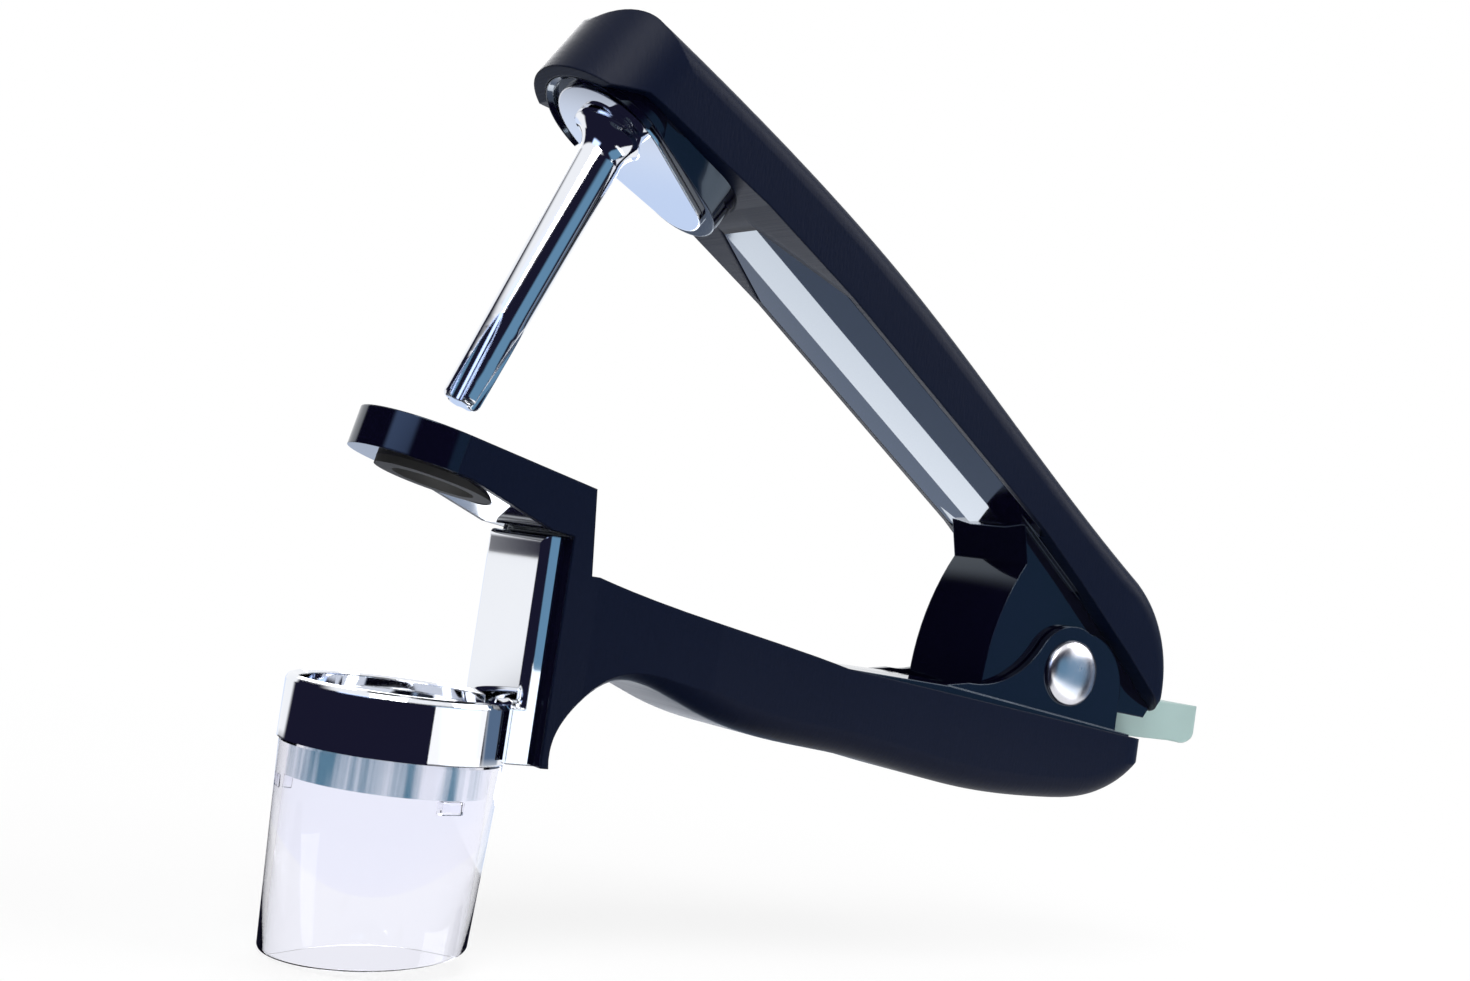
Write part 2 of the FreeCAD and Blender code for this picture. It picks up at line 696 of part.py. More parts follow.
def upper_deck():
    """Inner ridge of the upper core, extruded along the lever."""
    ridge = size["ridge_half_width"]
    edge = size["upper_half_width"] - 1.0
    border = size["upper_border"]
    wire = section_wire(-size["deck_far"],
                        [(edge, border + 1.2), (edge, border), (ridge, size["upper_inner"])])
    return Part.Face(wire).extrude(Vector(size["deck_far"] - size["deck_near"], 0, 0))


def rod_boss():
    """Raised seat under the drum that the rod's tongue lies on."""
    root = -size["rod_root"]
    end = -size["tongue_end"] + size["boss_margin"]
    narrow = size["tongue_end_radius"] + size["boss_margin"]
    disc = size["tongue_disc_radius"] + 0.6
    lower = hull_wire(size["boss_face"], root, disc, end - narrow, narrow)
    wide = size["upper_half_width"] - 1.6
    upper = hull_wire(size["upper_border"] + 1.0, root, wide + 0.2, end - wide, wide)
    return Part.makeLoft([lower, upper], True, True)


def in_lever(point, placement=None):
    """XZ point of the open or shut lever, given in the world, in the lever's own frame."""
    local = (placement or lever_placement).inverse().multVec(Vector(point[0], 0, point[1]))
    return local.x, local.z


def around_pivot(radius, degrees):
    """World XZ point on a circle about the pivot."""
    turn = math.radians(degrees)
    return pivot.x + radius * math.cos(turn), pivot.z + radius * math.sin(turn)


def knuckle():
    """Curved hinge block of the upper core, with its heel just above the pocket's floor when shut."""
    crown = size["knuckle_crown"]
    back = (-size["knuckle_reach"], crown)
    slope = (-size["slope_station"], size["slope_depth"])
    brow = (-size["brow_station"], size["brow_depth"])
    sole = pocket_floor + size["heel_gap"]
    heel_angle = 180 + math.degrees(math.asin((pivot.z - sole) / size["heel_radius"]))
    heel = in_lever(around_pivot(size["heel_radius"], heel_angle), shut_placement)
    toe = in_lever((pivot.x - 9.0 - size["heel_gap"], sole), shut_placement)
    arch = in_lever((pivot.x - 5.2 - size["heel_gap"], channel_floor + size["heel_gap"]), shut_placement)
    cheek = (-size["brow_station"] + 1.6, -4.6)
    eye = size["rivet_radius"] + 1.6
    under = in_lever(around_pivot(eye, 262), lever_placement)
    lowest = in_lever(around_pivot(eye, 288), lever_placement)
    behind = in_lever(around_pivot(eye, 315), lever_placement)
    pieces = [
        [(back[0], slope[1]), slope], [slope, brow], [brow, cheek, heel], [heel, toe],
        [toe, arch], [arch, under],
        [under, lowest, behind], [behind, (8.3, 0.4)], [(8.3, 0.4), (14.2, 3.7)], [(14.2, 3.7), (14.2, 9.0)],
        [(14.2, 9.0), (6.0, crown)], [(6.0, crown), back], [back, (back[0], slope[1])],
    ]
    return slab(outline(pieces), size["knuckle_half_width"])


def upper_blank():
    """Upper lever's rigid core before its holes."""
    border = size["upper_border"]
    skin = size["skin"] + 0.6
    half = size["upper_half_width"] - skin
    centre = -size["drum_centre"]
    depth = size["upper_back"] - 5.0 - size["boss_face"]
    drum = Part.makeCylinder(half, depth, Vector(centre, 0, size["boss_face"]))
    bar = box((centre, -28.0), (-half, half), (border, size["upper_back"] - 2.6))
    rear = polygon([(-30, border), (-24, border - 0.4), (2.6, 7.9), (11, 6.6), (12.5, 7.0), (11.5, 10),
                    (5.5, 14.6), (-30, 15.4)])
    return drum.fuse([bar, upper_deck(), rod_boss(), knuckle(), slab(rear, size["knuckle_half_width"] + 0.8)])


def hinge_cavity():
    """Round space inside the knuckle for the lugs and spring, and the way out for the lock."""
    cavity = cylinder_y(size["hinge_bore_depth"], wall_inner, pivot.x, pivot.z)
    top = tab_bottom + size["tab_height"] + 0.9
    mouth = box((pivot.x - 2, pivot.x + 24), (-wall_inner, wall_inner), (pivot.z - 20, top))
    return placed(cavity.fuse(mouth), lever_placement.inverse())


def lock_notch():
    """Notch in the knuckle's inner wall that the lock's nose enters when the levers are shut."""
    nose = pivot.x - size["nose_length"] - size["lock_travel"]
    half = size["stem_half_width"] + 0.6
    notch = box((nose - 0.6, nose + 5.0), (-half, half),
                (channel_floor - 1.2, tab_bottom + size["stem_height"] + 0.5))
    return placed(notch, shut_placement.inverse())


def pivot_bore(radius):
    """Bore for the pin, in the upper lever's frame."""
    return placed(cylinder_y(radius, 20, pivot.x, pivot.z), lever_placement.inverse())


def plunger_screw_places():
    """Placements of the plunger's screws in the lever's frame, heads under the back."""
    head = size["upper_back"] - 5.2
    return [FreeCAD.Placement(Vector(-along, 0, head),
                              FreeCAD.Rotation()) for along in plunger_screw_stations()]


def plunger_screw_stations():
    return [size["rod_root"], size["tongue_end"] + size["tongue_end_radius"]]


def plunger_peg():
    """Peg on the tongue that stands in the core and takes the second screw."""
    station = plunger_screw_stations()[1]
    return Part.makeCylinder(2.6, 3.0, Vector(-station, 0, size["boss_face"]))


def build_upper_core(blank):
    """Glossy rigid core of the upper lever with its knuckle, ridge and rod seat."""
    shape = blank.cut(hinge_cavity())
    cuts = [
        pivot_bore(size["pin_radius"] + size["running_gap"]),
        lock_notch(),
        plunger_peg(),
    ]
    cuts += [placed(countersunk_hole(12), place) for place in plunger_screw_places()]
    for cut in cuts:
        shape = shape.cut(cut)
    return add_piece("upper_core", shape, lever_placement)


def build_upper_grip(blank):
    """Soft satin grip moulded over the upper core, closed round its front end."""
    inside = size["upper_half_width"] - size["skin"] - 0.6
    mouth = Part.makeCylinder(inside, size["boss_face"] + 5, Vector(-size["drum_centre"], 0, -5))
    shape = upper_outer().cut(blank).cut(hinge_cavity()).cut(mouth)
    return add_piece("upper_grip", shape, lever_placement)


def rod_axis():
    """Placement whose -Z is the rod's direction, with its origin at the tongue's face."""
    base = Vector(-size["rod_root"], 0, size["boss_face"] - size["tongue_thickness"])
    return FreeCAD.Placement(base, FreeCAD.Rotation(AXIS_Y, -size["rod_lean"]))


def build_plunger():
    """Chromed rod with its flared root, tongue and fluted, notched tip."""
    root = size["rod_root_radius"]
    tip = size["rod_tip_radius"]
    length = size["rod_length"]
    flare = size["flare_height"]
    round_end = 0.8
    profile = [
        [(0, 0.6), (root + 2.4, 0.6)],
        [(root + 2.4, 0.6), (root + 2.4, 0)],
        [(root + 2.4, 0), (root + 0.75, -flare * 0.3), (root, -flare)],
        [(root, -flare), (tip, round_end - length)],
        [(tip, round_end - length), (tip - 0.25, 0.25 - length), (tip - round_end, -length)],
        [(tip - round_end, -length), (0, -length)],
        [(0, -length), (0, 0.6)],
    ]
    rod = Part.Face(outline(profile)).revolve(Vector(0, 0, 0), AXIS_Z, 360)
    flute_length = size["flute_length"]
    rise = size["flute_depth"] + 0.35
    fade = math.degrees(math.atan(rise / flute_length))
    start = tip + size["flute_radius"] - size["flute_depth"] + rise
    for quarter in range(4):
        flute = Part.makeCylinder(size["flute_radius"], flute_length + 2, Vector(0, 0, -flute_length - 2))
        flute.rotate(Vector(0, 0, 0), AXIS_Y, fade)
        flute.translate(Vector(start, 0, -length + flute_length))
        flute.rotate(Vector(0, 0, 0), AXIS_Z, 45 + 90 * quarter)
        rod = rod.cut(flute)
    rod = placed(rod, rod_axis())
    thick = size["tongue_thickness"]
    end_radius = size["tongue_end_radius"]
    wire = hull_wire(size["boss_face"] - thick, -size["rod_root"], size["tongue_disc_radius"],
                     -size["tongue_end"] - end_radius, end_radius)
    tongue = Part.Face(wire).extrude(Vector(0, 0, thick))
    above = box((-200, 0), (-30, 30), (size["boss_face"], 40))
    shape = rod.fuse([tongue]).cut(above).fuse(plunger_peg())
    shape = shape.cut(Part.makeCylinder(size["screw_radius"], 9,
                                        Vector(-size["rod_root"], 0, size["boss_face"] - 4)))
    peg_screw = Part.makeCylinder(size["screw_radius"], 9,
                                  Vector(-plunger_screw_stations()[1], 0, size["boss_face"] + 0.2))
    return add_piece("plunger", shape.cut(peg_screw), lever_placement)


def build_drum_trim():
    """Bevelled black ring round the rod's disc, inside the grip's rim."""
    top = size["boss_face"]
    inner = size["tongue_disc_radius"] + 0.15
    outer = size["upper_half_width"] - size["skin"] - 0.65
    ring = revolved([(inner, top), (inner, top - 0.6), (outer, size["drum_rim"] + 0.2), (outer, top)])
    ring.translate(Vector(-size["rod_root"] - 1.0, 0, 0))
    keep = box((-200, -size["rod_root"]), (-30, 30), (0, 40))
    return add_piece("drum_trim", ring.common(keep), lever_placement)


def build_plunger_screws():
    """Two countersunk screws from under the lever's back into the rod and its tongue."""
    head = size["upper_back"] - 5.2
    lengths = [head - size["boss_face"] + 3.8, head - size["boss_face"] - 0.4]
    screws = []
    for number, (length, place) in enumerate(zip(lengths, plunger_screw_places()), start=1):
        screws.append(countersunk_screw(f"plunger_screw_{number}", lever_placement * place, length))
    return combined("Compound", "plunger_screws", *screws)


def build_splash_shield():
    """Clear tapered shield with stop ribs under the collar and a slanted foot."""
    height = "(Sizes.shield_height - Sizes.shield_gap)"
    slope = f"(Sizes.shield_top_radius - Sizes.shield_foot_radius) / {height}"
    low = f"Sizes.shield_foot_radius - Sizes.shield_trim * {slope}"
    start = FreeCAD.Placement(Vector(0, 0, -size["shield_trim"]), FreeCAD.Rotation())
    tall = f"{height} + Sizes.shield_trim"
    outside = primitive("Cone", "shield_outside", start, Radius1=low, Radius2="Sizes.shield_top_radius",
                        Height=tall)
    bore = primitive("Cone", "shield_bore", start, Radius1=f"{low} - Sizes.shield_wall",
                     Radius2="Sizes.shield_top_radius - Sizes.shield_wall", Height=tall)
    rib_top = size["shield_height"] - size["collar_height"] - size["rib_gap"]
    corner = Vector(size["collar_radius"] - size["rib_overlap"], -size["rib_half_width"],
                    rib_top - size["rib_depth"])
    ribs = []
    for third in range(3):
        turn = FreeCAD.Placement(Vector(0, 0, 0), FreeCAD.Rotation(AXIS_Z, 120 * third - 75))
        ribs.append(primitive(
            "Box", f"shield_rib_{third + 1}", turn * FreeCAD.Placement(corner, FreeCAD.Rotation()),
            Length="Sizes.shield_foot_radius - Sizes.collar_radius + Sizes.rib_overlap",
            Width="2 * Sizes.rib_half_width", Height="Sizes.rib_depth"))
    kept = combined("MultiCommon", "shield_ribs", combined("MultiFuse", "shield_rib_set", *ribs), outside)
    shell = combined("MultiFuse", "shield_shell", combined("Cut", "shield_wall", outside, bore), kept)
    slant = FreeCAD.Placement(Vector(0, 0, 0), FreeCAD.Rotation(AXIS_Y, -size["foot_slant"]))
    span = 3 * size["shield_foot_radius"]
    floor_place = slant * FreeCAD.Placement(Vector(-span, -span, -span), FreeCAD.Rotation())
    floor = primitive("Box", "shield_floor", floor_place, Length="6 * Sizes.shield_foot_radius",
                      Width="6 * Sizes.shield_foot_radius", Height="3 * Sizes.shield_foot_radius")
    return combined("Cut", "splash_shield", shell, floor)


def build_lock_slider():
    """Translucent slider with a thumb tab outside and a nose that locks the knuckle."""
    half = size["tab_half_width"]
    low = tab_bottom
    top = low + size["tab_height"]
    front = pivot.x + 10.5
    end = size["reach"] + size["tab_end"]
    head = slab(outline([
        [(front, low), (end - 5.0, low - 0.1)],
        [(end - 5.0, low - 0.1), (end - 1.8, low + 0.3), (end - 0.5, low + 1.8)],
        [(end - 0.5, low + 1.8), (end, top - 1.4)],
        [(end, top - 1.4), (end - 0.3, top - 0.7), (end - 1.3, top - 0.4)],
        [(end - 1.3, top - 0.4), (front, top)], [(front, top), (front, low)],
    ]), half)
    upright = box((front, end + 1), (-half, half), (low - 2, top + 2))
    upright = upright.makeFillet(1.6, [e for e in upright.Edges if e.BoundBox.XMin > end and e.BoundBox.ZLength > 3])
    head = head.common(placed(upright, FreeCAD.Placement(Vector(-1, 0, 0), FreeCAD.Rotation())))
    nose = pivot.x - size["nose_length"]
    stem_top = low + size["stem_height"]
    stem = slab(polygon([(nose, low), (front + 1, low), (front + 1, stem_top), (nose + 2.6, stem_top),
                         (nose, stem_top - 1.2)]),
                size["stem_half_width"])
    shape = head.fuse(stem)
    shape = shape.cut(cylinder_y(size["lock_pin_radius"], 20, *lock_pin_place()))
    return add_piece("lock_slider", shape)


def lock_pin_place():
    """World X and Z of the slider's cross pin."""
    return pivot.x + size["lock_pin_place"], tab_bottom + size["stem_height"] / 2


def build_lock_pin():
    """Steel cross pin that keeps the slider between the lugs."""
    x, z = lock_pin_place()
    half = lug_inner - size["side_gap"]
    return primitive("Cylinder", "lock_pin", along_y(x, z, -half), Radius="Sizes.lock_pin_radius",
                     Height=f"2 * ({LUG_INNER} - Sizes.side_gap)")


def build_lock_leaf():
    """Leaf spring under the slider, held by one screw."""
    x_range, y_range, z_range = leaf_place()
    corner = FreeCAD.Placement(Vector(x_range[0], y_range[0], z_range[0]), FreeCAD.Rotation())
    strip = primitive("Box", "leaf_strip", corner, Length="Sizes.leaf_length",
                      Width="2 * Sizes.leaf_half_width",
                      Height="Sizes.leaf_thickness")
    low = FreeCAD.Placement(leaf_screw_top() - Vector(0, 0, 2 * size["leaf_thickness"]), FreeCAD.Rotation())
    hole = primitive("Cylinder", "leaf_hole", low, Radius="Sizes.leaf_screw_radius",
                     Height="3 * Sizes.leaf_thickness")
    return combined("Cut", "lock_leaf", strip, hole)


def build_leaf_screw():
    """Pan-head screw of the leaf spring."""
    top = leaf_screw_top()
    head = primitive("Cylinder", "leaf_screw_cap", FreeCAD.Placement(top, FreeCAD.Rotation()),
                     Radius="Sizes.leaf_screw_head", Height="Sizes.leaf_screw_height")
    low = FreeCAD.Placement(top - Vector(0, 0, size["leaf_screw_length"]), FreeCAD.Rotation())
    shank = primitive("Cylinder", "leaf_screw_shank", low, Radius="Sizes.leaf_screw_radius",
                      Height="Sizes.leaf_screw_length")
    return combined("MultiFuse", "leaf_screw", head, shank)


def along_y(x, z, start):
    """Placement whose Z runs along world Y from a start plane."""
    return FreeCAD.Placement(Vector(x, start, z), FreeCAD.Rotation(AXIS_X, -90))


def build_pivot_rivet():
    """Steel pivot pin with a domed head outside each hinge cheek."""
    seat = cheek_outer + size["end_gap"]
    radius = size["rivet_radius"]
    height = size["rivet_height"]
    dome_radius = (radius ** 2 + height ** 2) / (2 * height)
    shaft = primitive("Cylinder", "rivet_shaft", along_y(pivot.x, pivot.z, -seat - 0.1),
                      Radius="Sizes.pin_radius",
                      Height=f"2 * ({CHEEK_OUTER} + Sizes.end_gap + 0.1)")
    parts = [shaft]
    for name, side in (("near", -1), ("far", 1)):
        centre = FreeCAD.Placement(pivot + Vector(0, side * (seat + height - dome_radius), 0),
                                   FreeCAD.Rotation())
        ball = primitive("Sphere", f"rivet_ball_{name}", centre,
                         Radius="(Sizes.rivet_radius ^ 2 + Sizes.rivet_height ^ 2) / (2 * Sizes.rivet_height)")
        edge = min(side * seat, side * (seat + 2 * height))
        corner = FreeCAD.Placement(pivot + Vector(-2 * radius, edge, -2 * radius), FreeCAD.Rotation())
        block = primitive("Box", f"rivet_block_{name}", corner, Length="4 * Sizes.rivet_radius",
                          Width="2 * Sizes.rivet_height", Height="4 * Sizes.rivet_radius")
        parts.append(combined("MultiCommon", f"rivet_dome_{name}", ball, block))
    return combined("MultiFuse", "pivot_rivet", *parts)


def build_pivot_bush():
    """Sleeve on the pin that the spring is wound round."""
    bore = "Sizes.pin_radius + Sizes.press_gap"
    start = size["end_gap"] - lug_inner
    return ring_body("pivot_bush", along_y(pivot.x, pivot.z, start), "Sizes.pin_radius + Sizes.bush_wall",
                     bore,
                     f"2 * ({LUG_INNER} - Sizes.end_gap)")


def build_thrust_washers():
    """Thin washers between the lugs and the knuckle's walls."""
    outer = "Sizes.pin_radius + Sizes.washer_width"
    bore = "Sizes.pin_radius + Sizes.press_gap"
    thickness = size["side_gap"] * 0.6
    near = tube("washer_near", along_y(pivot.x, pivot.z, -lug_outer - thickness), outer, bore,
                "0.6 * Sizes.side_gap")
    far = tube("washer_far", along_y(pivot.x, pivot.z, lug_outer), outer, bore, "0.6 * Sizes.side_gap")
    return combined("Compound", "thrust_washers", near, far)


def build_torsion_spring():
    """Coil spring round the bush with a leg towards each lever."""
    wire = size["spring_wire"] / 2
    radius = size["spring_radius"]
    turns = size["spring_turns"]
    pitch = size["spring_wire"] + 0.12
    length = pitch * turns
    helix = Part.makeHelix(pitch, length, radius)
    circle = Part.Wire(Part.makeCircle(wire, Vector(radius, 0, 0), AXIS_Y))
    coil = Part.Wire(helix).makePipeShell([circle], True, True)
    reach = size["leg_length"]
    low_leg = Part.makeCylinder(wire, reach, Vector(radius, 0, 0), Vector(0, -1, 0))
    high_leg = Part.makeCylinder(wire, reach, Vector(radius, 0, length), Vector(0, 1, 0))
    high_leg.rotate(Vector(0, 0, 0), AXIS_Z, 360 * turns)
    shape = coil.fuse([low_leg, high_leg])
    shape.translate(Vector(0, 0, -length / 2))
    turn = FreeCAD.Rotation(AXIS_Y, size["leg_angle"]) * FreeCAD.Rotation(AXIS_X, -90)
    return add_piece("torsion_spring", shape, FreeCAD.Placement(pivot, turn))


lower_blank = core_blank()
lever_blank = upper_blank()
pieces = [
    build_lower_core(lower_blank), build_lower_grip(lower_blank), build_stripper_ring(),
    build_cherry_holder(),
    build_shield_collar(), build_drum_trim(),
    build_holder_screws(), build_pivot_rivet(), build_pivot_bush(), build_thrust_washers(),
    build_torsion_spring(),
    build_lock_leaf(), build_leaf_screw(), build_upper_core(lever_blank), build_upper_grip(lever_blank),
    build_plunger(), build_plunger_screws(), build_lock_slider(), build_lock_pin(), build_splash_shield(),
]
doc.recompute()

for thing in doc.Objects:
    if "Invalid" in thing.State or "Error" in thing.State:
        raise RuntimeError(f"{thing.Label} did not compute: {thing.State}")
os.makedirs("parts", exist_ok=True)
for piece in pieces:
    if piece.Shape.isNull() or not piece.Shape.isValid():
        raise RuntimeError(f"{piece.Label} has no valid shape")
    print(piece.Label, len(piece.Shape.Solids), round(piece.Shape.Volume, 1))
    piece.Shape.exportStep(f"parts/{piece.Label}.step")
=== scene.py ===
"""Studio scene of a hand-held cherry pitter: its finishes, its turned pieces, lights and camera."""

import logging
import math
from collections.abc import Callable, Sequence
from dataclasses import dataclass, field
from enum import Enum

import bpy
from mathutils import Matrix, Vector


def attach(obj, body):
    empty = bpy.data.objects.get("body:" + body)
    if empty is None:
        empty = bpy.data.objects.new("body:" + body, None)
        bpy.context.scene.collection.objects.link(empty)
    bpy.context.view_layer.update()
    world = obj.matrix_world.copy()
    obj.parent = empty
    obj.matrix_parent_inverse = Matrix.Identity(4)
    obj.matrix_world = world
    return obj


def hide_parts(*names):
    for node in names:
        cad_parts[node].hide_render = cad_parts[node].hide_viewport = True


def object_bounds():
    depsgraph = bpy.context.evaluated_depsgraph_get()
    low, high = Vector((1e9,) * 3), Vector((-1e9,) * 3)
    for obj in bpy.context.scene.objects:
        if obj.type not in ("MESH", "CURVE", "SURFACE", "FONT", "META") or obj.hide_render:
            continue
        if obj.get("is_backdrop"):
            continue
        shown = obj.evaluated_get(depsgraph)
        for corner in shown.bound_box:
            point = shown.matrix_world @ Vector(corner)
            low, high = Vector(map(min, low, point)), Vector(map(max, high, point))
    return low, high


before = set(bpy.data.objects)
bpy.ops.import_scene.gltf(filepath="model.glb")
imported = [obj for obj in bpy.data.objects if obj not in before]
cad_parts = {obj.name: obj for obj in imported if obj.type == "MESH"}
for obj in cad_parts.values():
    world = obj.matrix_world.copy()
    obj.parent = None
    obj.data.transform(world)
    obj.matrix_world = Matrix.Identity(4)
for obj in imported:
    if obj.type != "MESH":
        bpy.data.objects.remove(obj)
LOG = logging.getLogger("cherry_pitter")
MM = 0.001
WELD = 0.002 * MM
GRAIN_DEPTH = 0.1 * MM
WHITE = (1.0, 1.0, 1.0, 1.0)

Colour = tuple[float, float, float]
Point = tuple[float, float, float]
Ring = tuple[float, float]


class Body(Enum):
    """Rigid bodies that the newly modelled pieces ride on."""

    LOWER = "lower_lever"
    SHIELD = "shield"


class Slot(Enum):
    """Material slots that the newly modelled pieces stand for; this script does not give the pieces these slots."""

    STEEL = "steel"
    CLEAR = "clear_plastic"


def feed(tree: bpy.types.NodeTree, socket: bpy.types.NodeSocket, value: object) -> None:
    """Links a socket to a node's input, or sets the input to a plain value.

    Args:
        tree: Node tree of the input.
        socket: The input.
        value: Socket to link, or value to set.
    """
    if isinstance(value, bpy.types.NodeSocket):
        tree.links.new(value, socket)
    else:
        socket.default_value = value


def add_node(tree: bpy.types.NodeTree, kind: str, **inputs: object) -> bpy.types.Node:
    """Adds a shader node and feeds its inputs.

    Args:
        tree: Node tree that takes the node.
        kind: Type name of the node without its Shader prefix.
        inputs: Input names with underscores for spaces, each a value or a socket to link.

    Returns:
        The new node.
    """
    node = tree.nodes.new("ShaderNode" + kind)
    for name, value in inputs.items():
        feed(tree, node.inputs[name.replace("_", " ")], value)
    return node


def math_node(tree: bpy.types.NodeTree, operation: str, *values: object) -> bpy.types.NodeSocket:
    """Adds a math node.

    Args:
        tree: Node tree that takes the node.
        operation: Name of the operation.
        values: Up to three numbers or sockets.

    Returns:
        The node's output socket.
    """
    node = tree.nodes.new("ShaderNodeMath")
    node.operation = operation
    for socket, value in zip(node.inputs, values):
        feed(tree, socket, value)
    return node.outputs[0]


def vector_node(tree: bpy.types.NodeTree, operation: str, *values: object) -> bpy.types.Node:
    """Adds a vector math node.

    Args:
        tree: Node tree that takes the node.
        operation: Name of the operation.
        values: One or two vectors or sockets.

    Returns:
        The new node.
    """
    node = tree.nodes.new("ShaderNodeVectorMath")
    node.operation = operation
    for socket, value in zip(node.inputs, values):
        feed(tree, socket, value)
    return node


def mix_colours(tree: bpy.types.NodeTree, factor: bpy.types.NodeSocket, first: object,
                second: object) -> bpy.types.NodeSocket:
    """Adds a node that blends two colours.

    Args:
        tree: Node tree that takes the node.
        factor: Socket with the share of the second colour.
        first: Colour or socket shown at a factor of 0.
        second: Colour or socket shown at a factor of 1.

    Returns:
        Socket with the blended colour.
    """
    node = tree.nodes.new("ShaderNodeMix")
    node.data_type = "RGBA"
    feed(tree, node.inputs["Factor"], factor)
    feed(tree, node.inputs["A"], first)
    feed(tree, node.inputs["B"], second)
    return node.outputs["Result"]


def mix_shaders(tree: bpy.types.NodeTree, factor: bpy.types.NodeSocket, first: bpy.types.Node | bpy.types.NodeSocket,
                second: bpy.types.Node | bpy.types.NodeSocket) -> bpy.types.NodeSocket:
    """Adds a node that blends two shaders.

    Args:
        tree: Node tree that takes the node.
        factor: Socket with the share of the second shader.
        first: Shader node or socket shown at a factor of 0.
        second: Shader node or socket shown at a factor of 1.

    Returns:
        Socket with the blended shader.
    """
    node = add_node(tree, "MixShader", Fac=factor)
    for shader, socket in zip((first, second), node.inputs[1:]):
        feed(tree, socket, shader if isinstance(shader, bpy.types.NodeSocket) else shader.outputs[0])
    return node.outputs[0]


def ray_kinds(tree: bpy.types.NodeTree) -> tuple[bpy.types.NodeSocket, bpy.types.NodeSocket]:
    """Tells seen rays and reflected rays from the rest.

    Args:
        tree: Node tree that takes the nodes.

    Returns:
        Socket that is 1 for rays of the camera and rays through clear plastic, and socket that is 1 for
        rays from polished surfaces.
    """
    path = tree.nodes.new("ShaderNodeLightPath").outputs
    return math_node(tree, "MAXIMUM", path["Is Camera Ray"], path["Is Transmission Ray"]), path["Is Glossy Ray"]


def stretched_noise(tree: bpy.types.NodeTree, spread: Sequence[object], scale: object,
                    detail: float) -> bpy.types.NodeSocket:
    """Adds noise on an object's own coordinates, drawn out along the axes.

    Args:
        tree: Node tree that takes the nodes.
        spread: Numbers or sockets that X, Y and Z are multiplied by, where less than 1 draws the noise out.
        scale: Number or socket with the spots per metre.
        detail: Number of finer layers.

    Returns:
        Socket with the noise, from 0 to 1.
    """
    place = tree.nodes.new("ShaderNodeTexCoord").outputs["Object"]
    along = add_node(tree, "CombineXYZ", X=spread[0], Y=spread[1], Z=spread[2])
    mapping = add_node(tree, "Mapping", Vector=place, Scale=along.outputs[0])
    return add_node(tree, "TexNoise", Vector=mapping.outputs[0], Scale=scale, Detail=detail).outputs[0]


def moulded_grain_group() -> bpy.types.NodeTree:
    """Builds the fine grain that moulded and polished surfaces share.

    Returns:
        Node group with roughness, height and mask outputs that change over the surface.
    """
    known = bpy.data.node_groups.get("moulded_grain")
    if known:
        return known
    group = bpy.data.node_groups.new("moulded_grain", "ShaderNodeTree")
    defaults = {"Grain": 900.0, "Stretch": 1.0, "Roughness": 0.4, "Variation": 0.1, "Patches": 40.0,
                "Upright": 1.0, "Low": 0.0, "High": 1.0}
    for name, value in defaults.items():
        socket = group.interface.new_socket(name=name, in_out="INPUT", socket_type="NodeSocketFloat")
        socket.default_value = value
    for name in ("Roughness", "Height", "Mask"):
        group.interface.new_socket(name=name, in_out="OUTPUT", socket_type="NodeSocketFloat")
    inner = group.nodes.new("NodeGroupInput").outputs
    grain = stretched_noise(group, (1.0, 0.0, inner["Stretch"]), inner["Grain"], 2.0)
    patches = stretched_noise(group, (1.0, 1.0, inner["Upright"]), inner["Patches"], 4.0)
    contrast = add_node(group, "MapRange", Value=patches, From_Min=inner["Low"], From_Max=inner["High"])
    fine_share = 0.6
    fine = math_node(group, "MULTIPLY", math_node(group, "SUBTRACT", grain, 0.5), fine_share)
    swing = math_node(group, "ADD", math_node(group, "SUBTRACT", patches, 0.5), fine)
    rough = math_node(group, "MULTIPLY_ADD", swing, inner["Variation"], inner["Roughness"])
    outer = group.nodes.new("NodeGroupOutput").inputs
    group.links.new(rough, outer["Roughness"])
    group.links.new(grain, outer["Height"])
    group.links.new(contrast.outputs[0], outer["Mask"])
    return group


